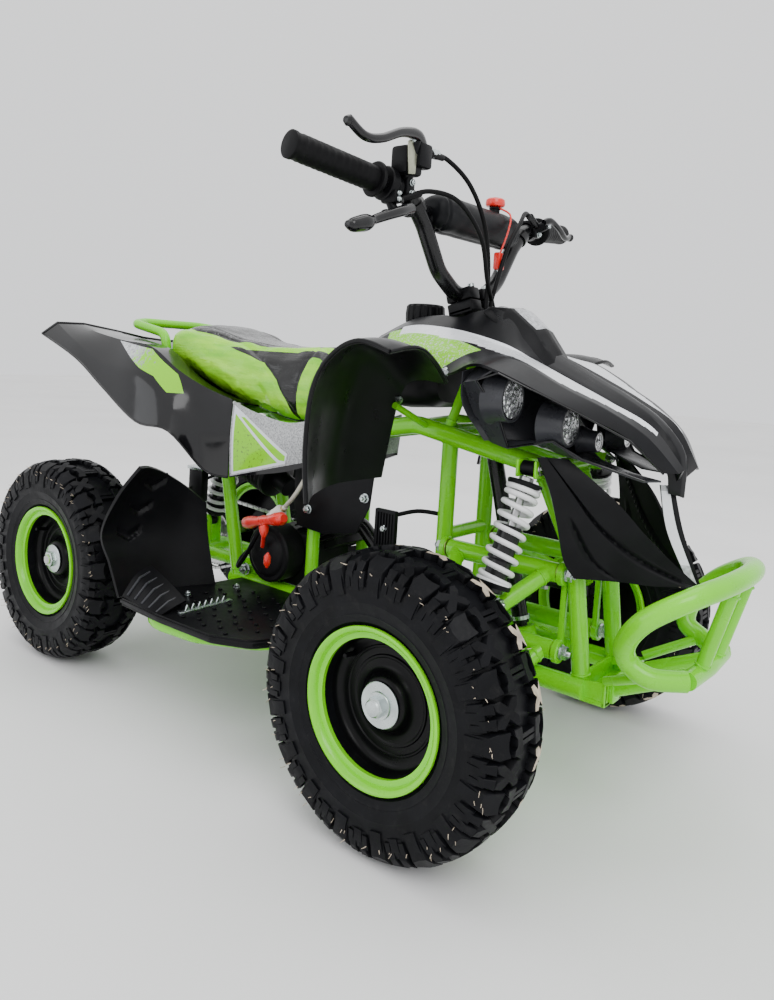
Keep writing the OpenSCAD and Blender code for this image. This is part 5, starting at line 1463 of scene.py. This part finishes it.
h.add(box(stem(214) + [-30, -6, -3.5], stem(214) + [30, 64, 3.5], 2, rot=([1, 0, 0], -15.1, tuple(stem(214)))), 0)
h.add(box(stem(436) + [-28, -24, -5], stem(436) + [28, -4, 5], 2, rot=([1, 0, 0], -15.1, tuple(stem(436)))), 0)
weld(h, stem(230), stem_v, 11, 0); weld(h, stem(596), stem_v, 11, 0)
h.add(lathe([(0, 8.2), (0, 13), (5, 13), (5, 8.2)], stem(192), stem_v, 28), 2)
piece("steering_column", h, ["blackp", "satin", "zinc"], "steering", ["steering_stem"])

hb = [[34, 116, 622], [74, 118, 648], [112, 118, 702], [146, 118.3, 735.7], [322, 149, 757]]
full_bar = np.vstack([np.array(hb)[::-1] * [-1, 1, 1], np.array([[0, 116, 622]]), np.array(hb)])
h = Geo()
h.add(tube(fillet(full_bar, 60, 9), 11, 24), 0)
h.add(tube([[-134, 120, 722], [134, 120, 722]], 6.5, 20), 0)
for s in (-1, 1):
    h.add(lathe([(-6, 11.2), (-6, 13.5), (6, 13.5), (6, 11.2)], [s * 132, 118.2, 722], [s * 0.71, 0, 0.70], 28), 0)
piece("handlebar_tube", h, ["blackp"], "steering", ["handlebar"])

# ribbed grips with flanges
h = Geo()
a_, b_ = np.array([204, 128.44, 742.7]), np.array([327, 149.87, 757.6])
L = np.linalg.norm(b_ - a_)
nr = 48; rows = []
ax_, ua, ub = frame_of(b_ - a_)
T = [0, 1.2] + list(np.linspace(3, L - 6, 50)) + [L - 4, L - 1.5, L]
for t in T:
    row = []
    for k in range(nr):
        w = 2 * math.pi * k / nr
        r = 15.3
        if 8 < t < L - 14:
            # raised ribs on one side, small waffle on the other
            r += 0.75 if math.cos(w * 2) > 0 and int(t / 5.0) % 2 == 0 else 0
            r += 0.55 if math.cos(w * 2) <= 0 and (int(t / 4.0) + k // 2) % 2 == 0 else 0
        if t > L - 8: r = 16.2
        if t > L - 1: r = 13.5
        if t < 1: r = 14.4
        row.append(a_ + ax_ * t + r * (math.cos(w) * ua + math.sin(w) * ub))
    rows.append(row)
V = np.array(rows).reshape(-1, 3); m_ = len(rows)
F = [[i * nr + k, i * nr + (k + 1) % nr, (i + 1) * nr + (k + 1) % nr, (i + 1) * nr + k] for i in range(m_ - 1) for k in range(nr)]
F += [list(range(nr))[::-1], list(range((m_ - 1) * nr, m_ * nr))]
h.add((V, F), 0)
fa, fb = np.array([200, 127.74, 742.21]), np.array([205, 128.61, 742.82])
h.add(lathe([(-0.6, 13), (-0.6, 19), (0.6, 21.4), (3.4, 21.8), (5.0, 20.8), (5.4, 16), (5.4, 13)], fa, fb - fa, 40, closed=True), 0)
h.both()
piece("grips", h, ["rubber"], "steering", ["hand_grips"], angle=30)


def rod_taper(P, R, n=14):
    return tube(P, R, n)


h = Geo()
# perches and clamps on both sides
for s in (-1, 1):
    ca_, cb_ = np.array([s * 153.2, 119.56, 736.57]), np.array([s * 174.2, 123.22, 739.12])
    h.add(lathe([(0, 11.3), (0, 14.6), (1, 15.5), (20, 15.5), (21.3, 14.6), (21.3, 11.3)], ca_, cb_ - ca_, 32, closed=True), 0)
    h.add(box([s * 163 - 8, 103, 726], [s * 163 + 8, 112, 750], 2), 0)
    for z in (731, 744):
        bolt(h, [s * 163, 103, z], [0, -1, 0], 2.2, 2)
# right side: long lever above, second lever below
h.add(tube(catmull([[-163, 112, 744], [-167, 104, 764], [-172, 94, 792]], 5), [7.8, 7.6, 7.4, 7.4, 7.3, 7.2, 7.1, 7.0, 7.0, 7.0, 7.0], 20), 0)
h.add(tube(catmull([[-150, 98, 788], [-172, 92, 797], [-206, 88, 792], [-244, 87, 776], [-272, 88, 772], [-298, 90, 784]], 8), [5.4 + 1.8 * math.exp(-((k - 8) / 6) ** 2) for k in range(41)], 16), 1)
h.add(box([-184, 96, 752], [-150, 122, 786], 5), 0)
h.add(box([-168, 88, 762], [-142, 104, 792], 4), 0)
h.add(prism([[-186, 95, 788], [-176, 95, 792], [-168, 95, 776], [-170, 95, 752], [-182, 95, 750]], [0, -2.5, 0], 0.8), 3)
h.add(lathe([(-5, 0.1), (-4, 4), (0, 6.2), (4, 4), (5, 0.1)], [-298, 90, 782], [1, 0, 0], 20), 1)
h.add(cyl([-176, 94, 788], [-176, 94, 803], 4.2, 16, 0.8), 2)
h.add(tube([[-160, 104, 778], [-128, 98, 786]], 5, 16), 0)
h.add(lathe([(0, 4.0), (0, 6.3), (5, 6.5), (6, 5), (12, 4.8), (13, 3.4)], [-132, 98.8, 785], [-1, -0.19, 0.25] if False else [1, -0.19, 0.25], 6), 2)
h.add(tube(catmull([[-160, 112, 732], [-162, 108, 716], [-170, 99, 708], [-184, 93, 706]], 5), 7, 16), 0)
h.add(tube(catmull([[-176, 92, 710], [-202, 88, 702], [-234, 90, 690], [-256, 91, 681], [-284, 92, 673]], 8), [7.2 - 0.08 * k for k in range(21)] + [6.0, 7.2, 8.6, 9.4, 9.8, 9.8, 9.4, 9.0, 8.6, 8.0, 7.0, 5.0], 18), 1)
h.add(lathe([(-5, 0.1), (-4, 4), (0, 5.8), (4, 4), (5, 0.1)], [-284, 92, 674], [1, 0, 0], 20), 1)
# left side: one lever
h.add(tube([[163, 108, 738], [166, 92, 746]], 7.4, 18), 0)
h.add(tube(catmull([[158, 92, 748], [173, 88, 752], [195, 85, 744], [221, 87, 734], [243, 90, 738]], 8), [4.2 + 1.4 * math.exp(-((k - 5) / 5) ** 2) for k in range(33)], 14), 1)
h.add(lathe([(-5, 0.1), (-4, 4), (0, 6.2), (4, 4), (5, 0.1)], [245, 90, 738], [1, 0, 0], 20), 1)
h.add(cyl([172, 91, 742], [172, 91, 758], 4, 16, 0.8), 2)
h.add(tube([[156, 104, 744], [126, 98, 752]], 5, 16), 0)
piece("levers_and_perches", h, ["satin", "gloss", "zinc", "olive"], "steering", ["brake_levers"])

h = Geo()
ta, tb = np.array([-178.4, 123.95, 739.62]), np.array([-190, 125.975, 741.025])
h.add(lathe([(0, 11.3), (0, 19.6), (1.4, 21), (10.4, 21), (11.8, 19.6), (11.8, 11.3)], ta, tb - ta, 40, closed=True), 0)
h.add(box([-191, 105, 716], [-177, 128, 732], 3), 0)
h.add(tube([[-184, 118, 720], [-184, 108, 702]], 6, 18), 0)
h.add(tube(catmull([[-184, 107, 706], [-192, 104, 702], [-204, 103, 700], [-214, 104, 698]], 5), [4.6, 4.6, 4.5, 4.4, 4.3, 4.3, 4.3, 4.4, 4.5, 4.7, 5.0, 5.4, 5.6, 5.2, 4.6, 3.0], 16), 0)
for q in ((-184, 105, 728), (-184, 105, 721)):
    bolt(h, q, [0, -1, 0], 1.6, 1)
piece("throttle_box", h, ["satin", "zinc"], "steering", ["thumb_throttle"])

h = Geo()
h.add(lathe([(0, 7), (12, 7), (13, 8.5), (15, 8.5), (16, 7), (18, 7)], [54, 116, 738], [0, 0, 1], 28), 0)
h.add(lathe([(0, 9), (0.8, 12.5), (3, 14), (6, 14), (10, 13.4), (12, 11), (12, 0.01)], [54, 116, 754], [0, 0, 1], 36), 1)
h.add(lathe([(11, 6.4), (13.2, 6), (13.6, 4), (13.6, 0.01)], [54, 116, 754], [0, 0, 1], 28), 0)
# lanyard with its clip; the points of its coil are worked out, but the cord is drawn as a plain tube
ld = catmull([[54, 108, 752], [58, 92, 742], [44, 86, 716], [20, 83, 680]], 10)
seg_ = np.concatenate([[0], np.cumsum(np.linalg.norm(np.diff(ld, axis=0), axis=1))])
LP = []
nt_ = 340
for k in range(nt_ + 1):
    s_ = seg_[-1] * k / nt_
    c_ = np.array([np.interp(s_, seg_, ld[:, i]) for i in range(3)])
    e_ = np.array([np.interp(min(s_ + 1, seg_[-1]), seg_, ld[:, i]) - np.interp(max(s_ - 1, 0), seg_, ld[:, i]) for i in range(3)])
    _, u_, v_ = frame_of(e_)
    w_ = s_ / 3.4 * 2 * math.pi
    LP.append(c_ + 2.7 * (math.cos(w_) * u_ + math.sin(w_) * v_))
h.add(tube(ld[::3], 1.4, 10), 1)
h.add(box([12, 78, 660], [28, 88, 684], 2.5), 1)
h.add(tube([[20, 84, 670], [22, 84, 664], [19, 84, 658], [15, 84, 662], [18, 84, 669]], 1.2, 8, cap=True), 2)
piece("kill_cap_lanyard", h, ["satin", "red", "zinc"], "steering", ["kill_switch"])

h = Geo()
CAB = ([[-134, 98, 784], [-104, 94, 784], [-64, 84, 760], [-32, 78, 716], [-14, 78, 660], [-10, 80, 604], [-10, 72, 560], [-14, 58, 520], [-16, 48, 476], [-16, 42, 440]],
       [[132, 100, 750], [100, 92, 752], [62, 78, 730], [26, 74, 690], [6, 76, 640], [2, 80, 604], [0, 70, 560], [0, 54, 520], [0, 42, 476], [0, 40, 440]],
       [[-172, 106, 724], [-146, 88, 736], [-104, 72, 730], [-56, 66, 692], [-24, 72, 640], [14, 82, 604], [14, 74, 560], [16, 60, 520], [16, 48, 476], [16, 42, 440]])
for P in CAB:
    h.add(tube(catmull(P, 8), 3, 14), 0)
    p, q = np.array(P[0], float), np.array(P[1], float)
    h.add(lathe([(-2, 2.5), (-2, 4.6), (10, 4.6), (12, 4.0), (22, 3.8), (24, 2.5)], p, q - p, 16), 1)
for c in ([-10, 80, 606], [2, 80, 604]):
    h.add(box([c[0] - 8, 74, 596], [c[0] + 16, 86, 600], 1), 0)
piece("cable_run", h, ["rubber", "satin"], "steering", ["control_cables"])

# knuckles and tie rods
for s, nm in ((1, "left"), (-1, "right")):
    h = Geo()
    h.add(lathe([(0, 12.5), (1.5, 15), (82.5, 15), (84, 12.5)], [190, 0, 121.5], [0, 0, 1], 36), 0)
    h.add(cyl([190, 0, 164], [248, 0, 164], 10, 28, 1), 1)
    h.add(cyl([190, 0, 164], [308, 0, 164], 6, 24, 1.2), 1)
    h.add(lathe([(0, 17), (4, 16), (9, 11.5)], [203, 0, 164], [1, 0, 0], 32), 0)
    h.add(prism([[165, 2, 194.5], [184, 2, 194.5], [186, 44, 194.5], [182, 54, 194.5], [168, 54, 194.5], [164, 44, 194.5]], [0, 0, 8], 1.6), 0)
    h.add(cyl([176, 54, 194], [176, 54, 203], 13, 28, 1), 0)
    h.add(cyl([190, 0, 92], [190, 0, 236], 6, 20, 1), 2)
    h.add(hexnut([190, 0, 94], [0, 0, 1], 11, 6), 2); h.add(hexnut([190, 0, 227], [0, 0, 1], 11, 6), 2)
    h.add(lathe([(0, 13), (1.2, 13)], [190, 0, 225.6], [0, 0, 1], 28), 2)
    h.add(prism([[176, -13, 140], [196, -13, 140], [200, -13, 164], [196, -13, 188], [176, -13, 188]], [0, -5, 0], 1), 0)
    g = h if s > 0 else h.flip()
    piece("knuckle_body_" + nm, g, ["blackp", "steel", "zinc"], nm + "_knuckle", ["knuckle_" + nm] if "knuckle_" + nm in NODES or True else ())
    h = Geo()
    a_, b_ = np.array([176, 54, 215.0]), np.array([20, 60, 219.0])
    d_ = unit(b_ - a_)
    h.add(tube([a_ + d_ * 8, b_ - d_ * 8], 5, 18), 0)
    for t in (28, np.linalg.norm(b_ - a_) - 34):
        h.add(hexnut(a_ + d_ * t, d_, 7.6, 6), 0)
    h.add(lathe([(-9, 7), (-8, 9.4), (-4, 10), (4, 10), (8, 9.4), (9, 7)], [176, 54, 213], [0, 0, 1], 28), 0)
    h.add(lathe([(-6, 6.5), (-5, 9), (5, 9), (6, 6.5)], [20, 60, 219], [0, 0, 1], 28), 0)
    h.add(cyl([176, 54, 186], [176, 54, 216], 4, 16, 0.6), 1)
    h.add(hexnut([176, 54, 187], [0, 0, 1], 7, 6), 1)
    h.add(lathe([(0, 9), (2, 9.4), (5, 7.4), (6, 5)], [176, 54, 203.2], [0, 0, 1], 24), 2)
    g = h if s > 0 else h.flip()
    piece("tie_rod_bar_" + nm, g, ["zinc", "steel", "rubber"], nm + "_tie_rod", ["tie_rod_" + nm])


# ---------------------------------------------------------------- floor, light, camera
lo_z = float(min(bounds_start[0][2], bounds_start[1][2])) if len(np.shape(bounds_start)) == 2 else 0.0
me = bpy.data.meshes.new("floor")
me.from_pydata([(-9, -9, lo_z), (9, -9, lo_z), (9, 9, lo_z), (-9, 9, lo_z)], [], [(0, 1, 2, 3)])
floor = bpy.data.objects.new("floor", me)
bpy.context.scene.collection.objects.link(floor)
mfl, nt, bs, co, colour = base("pale_floor", (0.86, 0.86, 0.86), 0.6, var=0.04, vscale=1.5, bump=0.02, bscale=200)
me.materials.append(mfl)

w = bpy.data.worlds.new("studio"); bpy.context.scene.world = w
w.use_nodes = True
bg = w.node_tree.nodes["Background"]
tcw = w.node_tree.nodes.new("ShaderNodeTexCoord"); spw = w.node_tree.nodes.new("ShaderNodeSeparateXYZ")
rw = w.node_tree.nodes.new("ShaderNodeValToRGB")
w.node_tree.links.new(tcw.outputs["Generated"], spw.inputs[0])
mr_ = w.node_tree.nodes.new("ShaderNodeMapRange"); mr_.inputs["From Min"].default_value = -0.2; mr_.inputs["From Max"].default_value = 1.0
w.node_tree.links.new(spw.outputs[2], mr_.inputs["Value"]); w.node_tree.links.new(mr_.outputs[0], rw.inputs[0])
rw.color_ramp.elements[0].color = (0.86, 0.87, 0.89, 1); rw.color_ramp.elements[1].color = (1.0, 1.0, 1.0, 1)
w.node_tree.links.new(rw.outputs[0], bg.inputs[0])
bg.inputs[1].default_value = 1.4


def area(name, loc, target, size, power, col=(1, 1, 1), sy=None):
    L_ = bpy.data.lights.new(name, "AREA"); L_.energy = power; L_.color = col
    L_.shape = "RECTANGLE"; L_.size = size; L_.size_y = sy or size
    o = bpy.data.objects.new(name, L_)
    o.location = loc
    o.rotation_euler = (Vector(target) - Vector(loc)).to_track_quat("-Z", "Y").to_euler()
    bpy.context.scene.collection.objects.link(o)


area("key", (-1.6, -1.9, 2.4), (0, 0, 0.35), 1.6, 36)
area("top", (0.3, 0.2, 3.0), (0, 0, 0.3), 2.4, 26)
area("fill", (-2.6, 1.1, 1.2), (0, 0, 0.35), 1.4, 9, (0.95, 0.97, 1.0))

cam = bpy.data.cameras.new("camera")
co_ = bpy.data.objects.new("camera", cam)
bpy.context.scene.collection.objects.link(co_)
yaw, pit, rol = math.radians(51.72), math.radians(4.15), math.radians(3.50)
d = Vector((math.sin(yaw) * math.cos(pit), math.cos(yaw) * math.cos(pit), -math.sin(pit)))
rg = Vector((math.cos(yaw), -math.sin(yaw), 0))
upv = rg.cross(d)
r_ = math.cos(rol) * rg + math.sin(rol) * upv
u_ = -math.sin(rol) * rg + math.cos(rol) * upv
co_.matrix_world = Matrix(((r_.x, u_.x, -d.x, -0.9543), (r_.y, u_.y, -d.y, -0.8058), (r_.z, u_.z, -d.z, 0.5355), (0, 0, 0, 1)))
cam.sensor_width = 36; cam.sensor_fit = "AUTO"; cam.lens = 29.03; cam.shift_x = 0.0; cam.shift_y = -0.0877
cam.clip_start = 0.02; cam.clip_end = 60
bpy.context.scene.camera = co_
